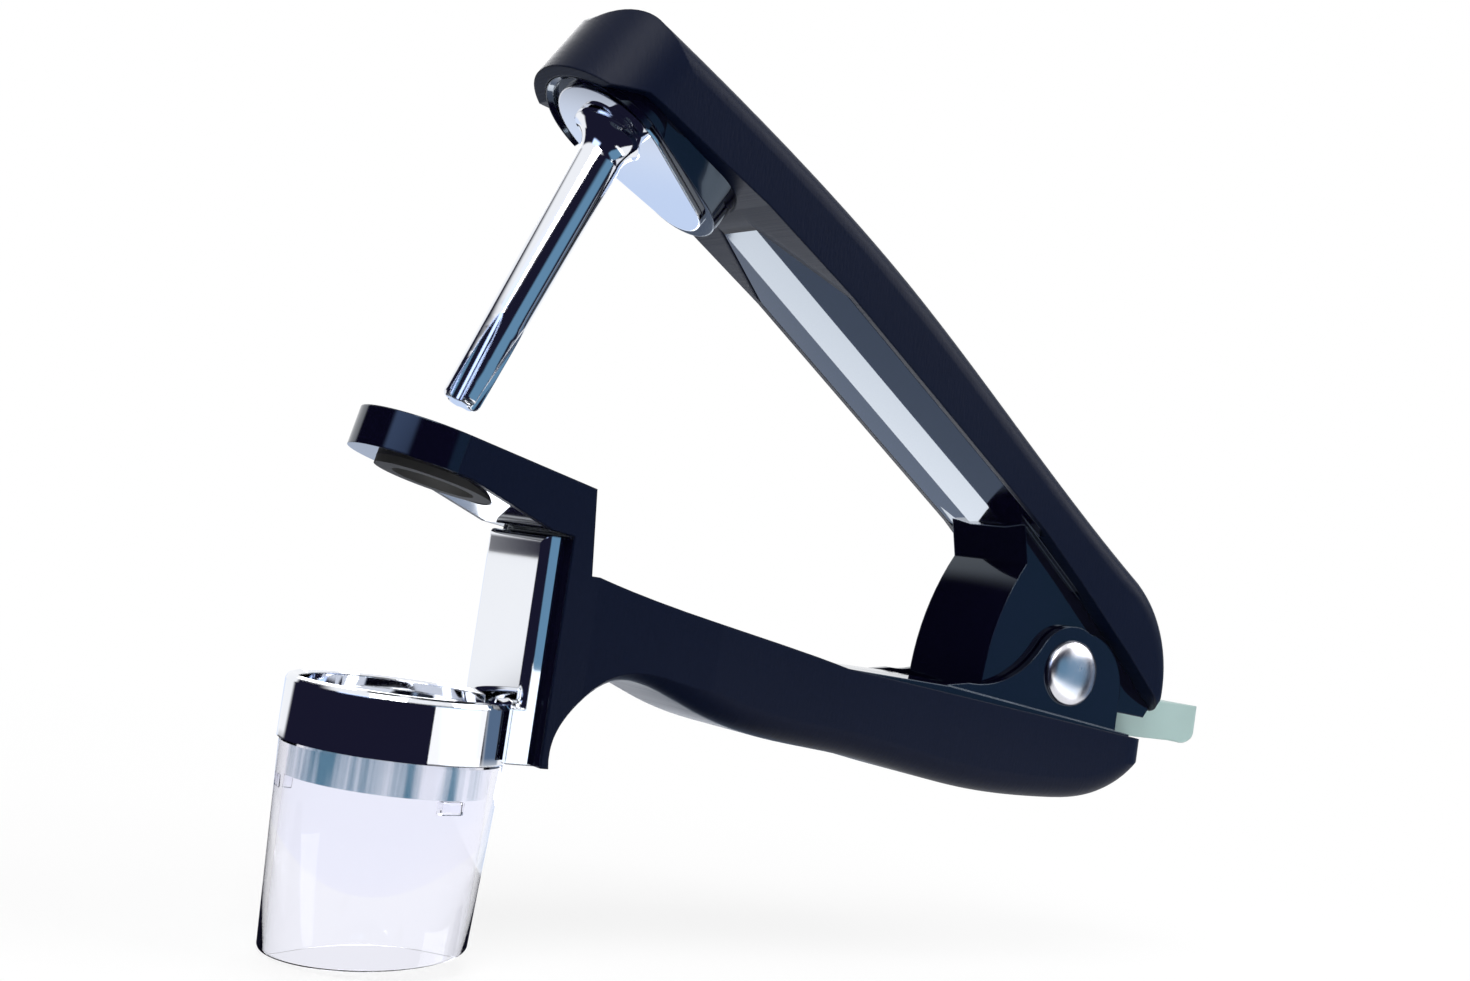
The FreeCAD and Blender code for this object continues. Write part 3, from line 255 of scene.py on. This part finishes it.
@dataclass(frozen=True)
class Finish:
    """Surface finish of one kind of material, with grain and patches per metre and its edge in millimetres."""

    name: str
    colour: Colour
    second: Colour
    roughness: float
    variation: float = 0.05
    grain: float = 900.0
    stretch: float = 1.0
    patches: float = 40.0
    bump: float = 0.02
    upright: float = 1.0
    contrast: tuple[float, float] = (0.0, 1.0)
    edge: float = 0.0
    metallic: float = 0.0
    ior: float = 1.5
    transmission: float = 0.0
    extra: tuple[tuple[str, object], ...] = field(default_factory=tuple)

    def build(self) -> bpy.types.Material:
        """Builds the material, or returns it if it was built before.

        Returns:
            The finish as a node material.
        """
        known = bpy.data.materials.get(self.name)
        if known:
            return known
        material = bpy.data.materials.new(self.name)
        material.use_nodes = True
        tree = material.node_tree
        shader = tree.nodes["Principled BSDF"]
        grain = tree.nodes.new("ShaderNodeGroup")
        grain.node_tree = moulded_grain_group()
        settings = {"Grain": self.grain, "Stretch": self.stretch, "Roughness": self.roughness,
                    "Variation": self.variation, "Patches": self.patches, "Upright": self.upright,
                    "Low": self.contrast[0], "High": self.contrast[1]}
        for name, value in settings.items():
            grain.inputs[name].default_value = value
        # For the collar this blend paints reflection streaks into the base colour; for the other finishes it is
        # random tone.
        colour = mix_colours(tree, grain.outputs["Mask"], (*self.colour, 1.0), (*self.second, 1.0))
        tree.links.new(colour, shader.inputs["Base Color"])
        tree.links.new(grain.outputs["Roughness"], shader.inputs["Roughness"])
        bump = add_node(tree, "Bump", Height=grain.outputs["Height"], Strength=self.bump, Distance=GRAIN_DEPTH)
        if self.edge:
            soft_edge = add_node(tree, "Bevel", Radius=self.edge * MM)
            soft_edge.samples = 6
            tree.links.new(soft_edge.outputs[0], bump.inputs["Normal"])
        tree.links.new(bump.outputs[0], shader.inputs["Normal"])
        constants = (("Metallic", self.metallic), ("IOR", self.ior), ("Transmission Weight", self.transmission))
        for name, value in (*constants, *self.extra):
            shader.inputs[name].default_value = value
        return material


SOFT_GRIP = Finish(
    "soft_grip_satin", colour=(0.0012, 0.0035, 0.016), second=(0.0024, 0.006, 0.022), roughness=0.42,
    variation=0.12, grain=2600.0, stretch=0.25, patches=25.0, bump=0.25, edge=0.35, ior=1.2,
)
GLOSS_BLACK = Finish(
    "core_polished_black", colour=(0.0015, 0.001, 0.007), second=(0.003, 0.003, 0.010), roughness=0.06,
    variation=0.04, grain=400.0, patches=30.0, bump=0.004, edge=0.25, ior=1.6,
    extra=(("Specular Tint", (0.62, 0.80, 1.0, 1.0)),),
)
CHROME = Finish(
    "polished_chrome", colour=(0.84, 0.86, 0.90), second=(0.90, 0.91, 0.94), roughness=0.03,
    variation=0.03, grain=300.0, patches=60.0, bump=0.003, edge=0.3, metallic=1.0,
)
STEEL = Finish(
    "brushed_steel", colour=(0.62, 0.62, 0.64), second=(0.72, 0.72, 0.74), roughness=0.24,
    variation=0.2, stretch=0.1, patches=150.0, bump=0.08, metallic=1.0,
)
RIVET = Finish(
    "scratched_rivet_steel", colour=(0.66, 0.68, 0.70), second=(0.86, 0.82, 0.88), roughness=0.24,
    variation=0.2, grain=700.0, stretch=0.1, patches=220.0, bump=0.2, metallic=1.0,
)
# Chrome collar: its pale chrome is its own colour, but the upright dark teal and near-white streaks mixed into its
# base colour are painted reflections of the surroundings.
COLLAR_PAINTED_REFLECTIONS = Finish(
    "collar_chrome_painted_reflections", colour=(0.10, 0.24, 0.33), second=(0.95, 0.97, 1.0), roughness=0.10,
    variation=0.08, grain=300.0, patches=260.0, bump=0.003, upright=0.04, contrast=(0.40, 0.60), metallic=0.85,
)
CLEAR = Finish(
    "clear_shield_plastic", colour=(0.965, 0.965, 1.0), second=(0.94, 0.945, 1.0), roughness=0.02,
    variation=0.02, grain=300.0, patches=30.0, bump=0.003, ior=1.36, transmission=1.0,
)
TAB = Finish(
    "frosted_tab_plastic", colour=(0.42, 0.58, 0.56), second=(0.50, 0.66, 0.64), roughness=0.42,
    variation=0.1, patches=60.0, bump=0.1, edge=0.3, transmission=0.3,
)
BEARING = Finish(
    "bearing_plastic", colour=(0.012, 0.012, 0.014), second=(0.02, 0.02, 0.022), roughness=0.5, variation=0.1,
)


def dress(piece: bpy.types.Object, finish: Finish) -> None:
    """Gives a piece one finish all over.

    Args:
        piece: Object to dress.
        finish: Finish that it gets.
    """
    piece.data.materials.clear()
    piece.data.materials.append(finish.build())


def only(piece: bpy.types.Object) -> None:
    """Makes a piece the one selected and active object.

    Args:
        piece: The object.
    """
    bpy.ops.object.select_all(action="DESELECT")
    piece.select_set(True)
    bpy.context.view_layer.objects.active = piece


def apply_place(piece: bpy.types.Object) -> None:
    """Moves a piece's place, turn and scale into its mesh.

    Args:
        piece: The object.
    """
    only(piece)
    bpy.ops.object.transform_apply(location=True, rotation=True, scale=True)


def turned(name: str, rings: Sequence[Ring], segments: int) -> bpy.types.Object:
    """Turns a closed solid of revolution about Z by drawing a circle out from ring to ring.

    Args:
        name: Name of the piece.
        rings: Radius and height of each ring in millimetres, in order round the closed profile.
        segments: Number of corners of each ring.

    Returns:
        The turned piece, in object mode.
    """
    bpy.ops.object.select_all(action="DESELECT")
    radius, height = rings[0]
    bpy.ops.mesh.primitive_circle_add(vertices=segments, radius=radius * MM, location=(0.0, 0.0, 0.0))
    piece = bpy.context.object
    piece.name = name
    bpy.ops.object.mode_set(mode="EDIT")
    bpy.ops.mesh.select_all(action="SELECT")
    bpy.ops.transform.translate(value=(0.0, 0.0, height * MM))
    for next_radius, next_height in [*rings[1:], rings[0]]:
        step = (0.0, 0.0, (next_height - height) * MM)
        bpy.ops.mesh.extrude_region_move(TRANSFORM_OT_translate={"value": step})
        scale = next_radius / radius
        bpy.ops.transform.resize(value=(scale, scale, 1.0), center_override=(0.0, 0.0, next_height * MM))
        radius, height = next_radius, next_height
    bpy.ops.mesh.select_all(action="SELECT")
    bpy.ops.mesh.remove_doubles(threshold=WELD)
    bpy.ops.mesh.normals_make_consistent(inside=False)
    bpy.ops.object.mode_set(mode="OBJECT")
    return piece


def settled(piece: bpy.types.Object, finish: Finish, body: Body, angle: float) -> None:
    """Applies a piece's place, smooths it, dresses it and lets it ride on its body.

    Args:
        piece: Piece in its final place.
        finish: Finish that it gets.
        body: Body that it rides on.
        angle: Largest angle in degrees that is smoothed.
    """
    apply_place(piece)
    bpy.ops.object.shade_smooth_by_angle(angle=math.radians(angle))
    dress(piece, finish)
    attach(piece, body.value)


@dataclass
class ClearShield:
    """Clear shield with an eased rim, stop lugs and a slanted, eased foot, in millimetres and degrees."""

    height: float = 24.1
    top_radius: float = 13.7
    foot_radius: float = 12.6
    wall: float = 1.1
    slant: float = 5.8
    ease: float = 0.25
    ease_steps: int = 2
    eased_angle: float = 60.0
    band_depth: float = 4.3
    spare_length: float = 3.0
    segments: int = 160
    smooth_angle: float = 35.0
    lug_count: int = 3
    lug_top: float = 19.85
    lug_depth: float = 1.6
    lug_width: float = 3.2
    lug_inner: float = 11.3
    lug_sink: float = 0.05
    lug_ease: float = 0.18
    first_lug: float = -75.0

    def radius_at(self, height: float) -> float:
        """Gives the outer radius at a height.

        Args:
            height: Height over the shield's foot.

        Returns:
            The radius.
        """
        return self.foot_radius + (self.top_radius - self.foot_radius) * height / self.height

    def profile(self) -> list[Ring]:
        """Lists the rings of the wall, up its outside and down its inside.

        Returns:
            Radius and height of each ring.
        """
        eased = self.height - self.ease
        rim = self.radius_at(self.height)
        outside = [(self.radius_at(height), height) for height in (-self.spare_length, self.height - self.band_depth)]
        over = [(self.radius_at(eased), eased), (rim - self.ease, self.height),
                (rim - self.wall + self.ease, self.height), (rim - self.wall, eased)]
        inside = [(radius - self.wall, height) for radius, height in reversed(outside)]
        return [*outside, *over, *inside]

    def shell(self) -> bpy.types.Object:
        """Turns the shield's wall and cuts its foot at a slant.

        Returns:
            The wall.
        """
        shell = turned("clear_shield", self.profile(), self.segments)
        only(shell)
        bpy.ops.object.mode_set(mode="EDIT")
        bpy.ops.mesh.select_all(action="SELECT")
        lean = math.radians(self.slant)
        bpy.ops.mesh.bisect(plane_co=(0.0, 0.0, 0.0), plane_no=(-math.sin(lean), 0.0, math.cos(lean)),
                            use_fill=True, clear_inner=True)
        bpy.ops.object.mode_set(mode="OBJECT")
        rounding = shell.modifiers.new("eased_foot", "BEVEL")
        rounding.width = self.ease * MM
        rounding.segments = self.ease_steps
        rounding.limit_method = "ANGLE"
        rounding.angle_limit = math.radians(self.eased_angle)
        bpy.ops.object.modifier_apply(modifier=rounding.name)
        return shell

    def lug(self, angle: float) -> bpy.types.Object:
        """Shapes one stop lug inside the wall.

        Args:
            angle: Place round the shield in degrees.

        Returns:
            The lug.
        """
        bpy.ops.object.select_all(action="DESELECT")
        outer = self.radius_at(self.lug_top) - self.wall + self.lug_sink
        length = outer - self.lug_inner
        bpy.ops.mesh.primitive_cube_add(size=1.0, location=(0.0, 0.0, 0.0))
        lug = bpy.context.object
        lug.scale = (length * MM, self.lug_width * MM, self.lug_depth * MM)
        lug.location = ((self.lug_inner + length / 2) * MM, 0.0, (self.lug_top - self.lug_depth / 2) * MM)
        apply_place(lug)
        bpy.ops.object.mode_set(mode="EDIT")
        bpy.ops.mesh.select_all(action="SELECT")
        bpy.ops.mesh.bevel(offset=self.lug_ease * MM, segments=self.ease_steps)
        bpy.ops.object.mode_set(mode="OBJECT")
        lug.rotation_euler = (0.0, 0.0, math.radians(angle))
        apply_place(lug)
        return lug

    def build(self) -> list[bpy.types.Object]:
        """Builds the shield as one piece with its lugs.

        Returns:
            The shield.
        """
        shield = self.shell()
        lugs = [self.lug(self.first_lug + 360.0 / self.lug_count * number) for number in range(self.lug_count)]
        only(shield)
        for lug in lugs:
            lug.select_set(True)
        bpy.ops.object.join()
        settled(shield, CLEAR, Body.SHIELD, self.smooth_angle)
        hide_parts("splash_shield")
        return [shield]


@dataclass
class PivotRivet:
    """Steel pin with a domed head with an eased rim at each end, in millimetres and degrees."""

    place: Point = (102.4, 0.0, 43.95)
    shaft_radius: float = 2.5
    head_radius: float = 4.9
    head_height: float = 1.5
    seat: float = 9.75
    rim: float = 0.25
    rim_flat: float = 0.4
    dome_steps: int = 12
    dome_power: float = 0.9
    tip_radius: float = 0.01
    segments: int = 72
    smooth_angle: float = 50.0

    def head_rings(self, side: float) -> list[Ring]:
        """Lists the rings of one head's dome from its rim to its middle.

        Args:
            side: 1 for the far head, -1 for the near one.

        Returns:
            Radius and height of each ring.
        """
        rings = [(self.head_radius, side * (self.seat + self.rim * self.rim_flat))]
        for step in range(1, self.dome_steps):
            turn = step / self.dome_steps * math.pi / 2
            radius = self.head_radius * math.cos(turn) ** self.dome_power
            height = self.seat + self.rim + (self.head_height - self.rim) * math.sin(turn)
            rings.append((max(radius, 2 * self.tip_radius), side * height))
        rings.append((self.tip_radius, side * (self.seat + self.head_height)))
        return rings

    def build(self) -> list[bpy.types.Object]:
        """Turns the rivet and lays it across the hinge.

        Returns:
            The rivet.
        """
        near = self.head_rings(-1.0)[::-1]
        far = self.head_rings(1.0)
        shank = [(self.head_radius, -self.seat), (self.shaft_radius, -self.seat),
                 (self.shaft_radius, self.seat), (self.head_radius, self.seat)]
        rivet = turned("domed_pivot_rivet", [*near, *shank, *far], self.segments)
        rivet.rotation_euler = (math.radians(-90.0), 0.0, 0.0)
        rivet.location = Vector(self.place) * MM
        settled(rivet, RIVET, Body.LOWER, self.smooth_angle)
        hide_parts("pivot_rivet")
        return [rivet]


@dataclass
class RigidParts:
    """Solids that keep their modelled shape and only take a finish."""

    finishes: dict[str, Finish] = field(default_factory=lambda: {
        "lower_core": GLOSS_BLACK, "upper_core": GLOSS_BLACK, "drum_trim": GLOSS_BLACK,
        "lower_grip": SOFT_GRIP, "upper_grip": SOFT_GRIP,
        "cherry_holder": CHROME, "plunger": CHROME, "shield_collar": COLLAR_PAINTED_REFLECTIONS,
        "holder_screws": STEEL, "plunger_screws": STEEL, "leaf_screw": STEEL,
        "torsion_spring": STEEL, "lock_leaf": STEEL, "lock_pin": STEEL, "lock_slider": TAB,
        "stripper_ring": BEARING, "pivot_bush": BEARING, "thrust_washers": BEARING,
    })

    def build(self) -> list[bpy.types.Object]:
        """Dresses the solids.

        Returns:
            The dressed objects.
        """
        for name, finish in self.finishes.items():
            dress(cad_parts[name], finish)
        return [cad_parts[name] for name in self.finishes]


@dataclass(frozen=True)
class Panel:
    """Bright or dark field of the surroundings that polished surfaces show, in degrees."""

    azimuth: float
    half_width: float
    elevation: float
    half_height: float
    soft: float
    colour: Colour

    def mask(self, tree: bpy.types.NodeTree, azimuth: bpy.types.NodeSocket,
             elevation: bpy.types.NodeSocket) -> bpy.types.NodeSocket:
        """Builds the soft-edged mask of the field.

        Args:
            tree: Node tree that takes the nodes.
            azimuth: Socket with the direction's azimuth in radians.
            elevation: Socket with its elevation in radians.

        Returns:
            Socket that is 1 inside the field and 0 outside.
        """
        away = math_node(tree, "SUBTRACT", azimuth, math.radians(self.azimuth))
        away = math_node(tree, "ABSOLUTE", math_node(tree, "WRAP", away, math.pi, -math.pi))
        high = math_node(tree, "SUBTRACT", elevation, math.radians(self.elevation))
        high = math_node(tree, "ABSOLUTE", high)
        masks = []
        for distance, half in ((away, self.half_width), (high, self.half_height)):
            ramp = add_node(tree, "MapRange", Value=distance, From_Min=math.radians(half - self.soft / 2),
                            From_Max=math.radians(half + self.soft / 2), To_Min=1.0, To_Max=0.0)
            ramp.interpolation_type = "SMOOTHSTEP"
            masks.append(ramp.outputs[0])
        return math_node(tree, "MULTIPLY", *masks)


@dataclass(frozen=True)
class Lamp:
    """Soft area lamp, in metres, watts and degrees. It looks at its target unless it has a turn of its own."""

    name: str
    place: Point
    width: float
    power: float
    height: float | None = None
    target: Point = (0.06, 0.0, 0.05)
    turn: Point | None = None

    def build(self) -> bpy.types.Object:
        """Builds the lamp.

        Returns:
            The lamp.
        """
        bpy.ops.object.select_all(action="DESELECT")
        bpy.ops.object.light_add(type="AREA", location=self.place)
        lamp = bpy.context.object
        lamp.name = self.name
        lamp.data.size = self.width
        if self.height:
            lamp.data.shape = "RECTANGLE"
            lamp.data.size_y = self.height
            lamp.visible_camera = False
            lamp.visible_transmission = False
        lamp.data.energy = self.power
        if self.turn:
            lamp.rotation_euler = [math.radians(angle) for angle in self.turn]
        else:
            aim = Vector(self.target) - Vector(self.place)
            lamp.rotation_euler = aim.to_track_quat("-Z", "Y").to_euler()
        return lamp


DARK = (0.010, 0.010, 0.026)
SLATE = (0.10, 0.16, 0.26)
BLUE = (0.13, 0.27, 0.42)


@dataclass
class Studio:
    """Floor, soft lights, white surroundings and the camera."""

    azimuth: float = -33.77
    elevation: float = -2.47
    roll: float = 8.35
    eye: Point = (-98.716, -214.326, 51.542)
    focal_pixels: float = 1885.29
    frame_width: int = 1470
    sensor: float = 36.0
    clip_start: float = 0.005
    ambient: float = 0.3
    open_sky: tuple[float, ...] = (0.97, 0.98, 1.0, 1.0)
    glass_tint: tuple[float, ...] = (0.96, 0.96, 1.0, 1.0)
    through_glass: float = 0.93
    floor_size: float = 12.0
    floor_gap: float = 0.3
    floor_paint: tuple[float, ...] = (0.93, 0.93, 0.93, 1.0)
    floor_glow: float = 0.8
    shadow_core: float = 0.3
    shadow_reach: float = 0.3
    floor_centre: Point = (0.06, 0.0, 0.0)
    near_reach: float = 0.24
    near_share: float = 0.85
    panels: tuple[Panel, ...] = (
        Panel(-132.0, 113.0, -28.0, 62.0, 8.0, DARK),
        Panel(0.0, 19.0, 0.0, 60.0, 8.0, SLATE),
        Panel(-57.0, 24.0, 2.0, 12.0, 8.0, BLUE),
        Panel(-161.0, 20.0, 26.0, 10.0, 10.0, (1.0, 1.25, 1.9)),
    )
    floor_panels: tuple[Panel, ...] = (
        Panel(-127.0, 108.0, 0.0, 80.0, 8.0, DARK),
        Panel(0.0, 19.0, 0.0, 60.0, 8.0, SLATE),
        Panel(-57.0, 24.0, 0.0, 60.0, 8.0, BLUE),
        Panel(83.0, 13.0, -15.0, 40.0, 12.0, (0.70, 0.80, 1.0)),
    )
    near_panels: tuple[Panel, ...] = (
        Panel(-167.5, 86.5, 0.0, 80.0, 8.0, DARK),
        Panel(75.0, 30.0, 0.0, 80.0, 12.0, (0.60, 0.72, 0.95)),
    )
    lamps: tuple[Lamp, ...] = (
        Lamp("key_softbox", (-0.35, -0.45, 0.75), width=0.5, power=5.0),
        Lamp("fill_softbox", (0.7, -0.35, 0.5), width=0.6, power=3.5),
        Lamp("back_softbox", (0.25, 0.7, 0.6), width=0.5, power=3.0),
        Lamp("cup_softbox", (0.106, -0.124, 0.009), width=0.19, power=0.022, height=0.034,
             target=(0.0, 0.0, 0.028)),
        Lamp("lever_softbox", (0.083, 0.107, 0.003), width=0.10, power=0.066, height=0.045,
             turn=(180.0, 0.0, -47.0)),
    )

    def camera(self) -> bpy.types.Object:
        """Builds the camera at the fitted viewing place.

        Returns:
            The camera.
        """
        turn = math.radians(self.azimuth)
        lift = math.radians(self.elevation)
        lean = math.radians(self.roll)
        ahead = Vector((-math.sin(turn) * math.cos(lift), math.cos(turn) * math.cos(lift), -math.sin(lift)))
        level = Vector((math.cos(turn), math.sin(turn), 0.0))
        rise = level.cross(ahead)
        right = math.cos(lean) * level + math.sin(lean) * rise
        upward = -math.sin(lean) * level + math.cos(lean) * rise
        bpy.ops.object.select_all(action="DESELECT")
        bpy.ops.object.camera_add()
        camera = bpy.context.object
        camera.name = "photo_camera"
        matrix = Matrix((right, upward, -ahead)).transposed().to_4x4()
        matrix.translation = Vector(self.eye) * MM
        camera.matrix_world = matrix
        camera.data.sensor_fit = "HORIZONTAL"
        camera.data.sensor_width = self.sensor
        camera.data.lens = self.focal_pixels / self.frame_width * self.sensor
        camera.data.clip_start = self.clip_start
        bpy.context.scene.camera = camera
        return camera

    def lit_through_glass(self, tree: bpy.types.NodeTree, shown: bpy.types.NodeSocket) -> bpy.types.NodeSocket:
        """Lightens the fields for rays that have come through clear plastic.

        Args:
            tree: Node tree that takes the nodes.
            shown: Socket with the colour of the fields.

        Returns:
            Socket with the colour that the ray shows.
        """
        path = tree.nodes.new("ShaderNodeLightPath")
        inside = math_node(tree, "GREATER_THAN", path.outputs["Transmission Depth"], 0.5)
        share = math_node(tree, "MULTIPLY", inside, self.through_glass)
        return mix_colours(tree, share, shown, self.glass_tint)

    def fields(self, tree: bpy.types.NodeTree, direction: bpy.types.NodeSocket,
               panels: Sequence[Panel]) -> bpy.types.NodeSocket:
        """Builds what polished surfaces show in each direction.

        Args:
            tree: Node tree that takes the nodes.
            direction: Socket with a direction from the middle of the fields.
            panels: Fields laid over the open sky, in order.

        Returns:
            Socket with the colour shown in that direction.
        """
        unit = vector_node(tree, "NORMALIZE", direction)
        parts = add_node(tree, "SeparateXYZ", Vector=unit.outputs[0])
        azimuth = math_node(tree, "ARCTAN2", parts.outputs[1], parts.outputs[0])
        elevation = math_node(tree, "ARCSINE", parts.outputs[2])
        shown: object = self.open_sky
        for panel in panels:
            shown = mix_colours(tree, panel.mask(tree, azimuth, elevation), shown, (*panel.colour, 1.0))
        return shown

    def surroundings(self) -> None:
        """Builds a world that is white to look at, with dark and bright fields for reflections."""
        world = bpy.data.worlds.new("white_studio")
        bpy.context.scene.world = world
        world.use_nodes = True
        tree = world.node_tree
        tree.nodes.clear()
        place = tree.nodes.new("ShaderNodeTexCoord")
        shown = self.lit_through_glass(tree, self.fields(tree, place.outputs["Generated"], self.panels))
        reflected = add_node(tree, "Background", Color=shown, Strength=1.0)
        plain = add_node(tree, "Background", Color=WHITE, Strength=1.0)
        ambient = add_node(tree, "Background", Color=WHITE, Strength=self.ambient)
        seen, glossy = ray_kinds(tree)
        chosen = mix_shaders(tree, seen, mix_shaders(tree, glossy, ambient, reflected), plain)
        tree.links.new(chosen, tree.nodes.new("ShaderNodeOutputWorld").inputs["Surface"])

    def pale_floor(self) -> bpy.types.Material:
        """Builds the floor's paint, which fades to white and shows fields to polished surfaces.

        Returns:
            The material.
        """
        material = bpy.data.materials.new("pale_floor")
        material.use_nodes = True
        tree = material.node_tree
        tree.nodes.clear()
        place = tree.nodes.new("ShaderNodeTexCoord").outputs["Object"]
        paint = add_node(tree, "BsdfDiffuse", Color=self.floor_paint)
        glow = add_node(tree, "Emission", Color=WHITE, Strength=1.0)
        distance = vector_node(tree, "LENGTH", place).outputs["Value"]
        fade = add_node(tree, "MapRange", Value=distance, From_Min=self.shadow_reach * self.shadow_core,
                        From_Max=self.shadow_reach, To_Min=self.floor_glow)
        shadowed = mix_shaders(tree, fade.outputs[0], paint, glow)
        centred = vector_node(tree, "SUBTRACT", place, self.floor_centre).outputs["Vector"]
        far = self.fields(tree, centred, self.floor_panels)
        near = self.fields(tree, centred, self.near_panels)
        reach = add_node(tree, "MapRange", Value=distance, From_Min=self.near_reach * self.near_share,
                         From_Max=self.near_reach)
        shown = self.lit_through_glass(tree, mix_colours(tree, reach.outputs[0], near, far))
        sheet = add_node(tree, "Emission", Color=shown, Strength=1.0)
        seen, glossy = ray_kinds(tree)
        chosen = mix_shaders(tree, glossy, mix_shaders(tree, seen, paint, shadowed), sheet)
        tree.links.new(chosen, tree.nodes.new("ShaderNodeOutputMaterial").inputs["Surface"])
        return material

    def floor(self) -> bpy.types.Object:
        """Builds the pale floor under the shield's foot.

        Returns:
            The floor.
        """
        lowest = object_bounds()[0][2]
        bpy.ops.object.select_all(action="DESELECT")
        bpy.ops.mesh.primitive_plane_add(size=self.floor_size, location=(0.0, 0.0, lowest - self.floor_gap * MM))
        floor = bpy.context.object
        floor.name = "studio_floor"
        apply_place(floor)
        floor.data.materials.append(self.pale_floor())
        floor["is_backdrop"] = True
        return floor

    def build(self) -> list[bpy.types.Object]:
        """Builds the whole studio.

        Returns:
            Its objects.
        """
        self.surroundings()
        return [self.camera(), self.floor(), *(lamp.build() for lamp in self.lamps)]


def main() -> None:
    """Builds the pieces, dresses them, and logs the name of each."""
    logging.basicConfig(level=logging.INFO, format="%(message)s")
    bpy.context.scene.view_settings.view_transform = "Standard"
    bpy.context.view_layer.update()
    builders: tuple[Callable[[], list[bpy.types.Object]], ...] = (
        RigidParts().build, ClearShield().build, PivotRivet().build, Studio().build,
    )
    for builder in builders:
        for piece in builder():
            LOG.info("built %s", piece.name)


if __name__ == "__main__":
    main()
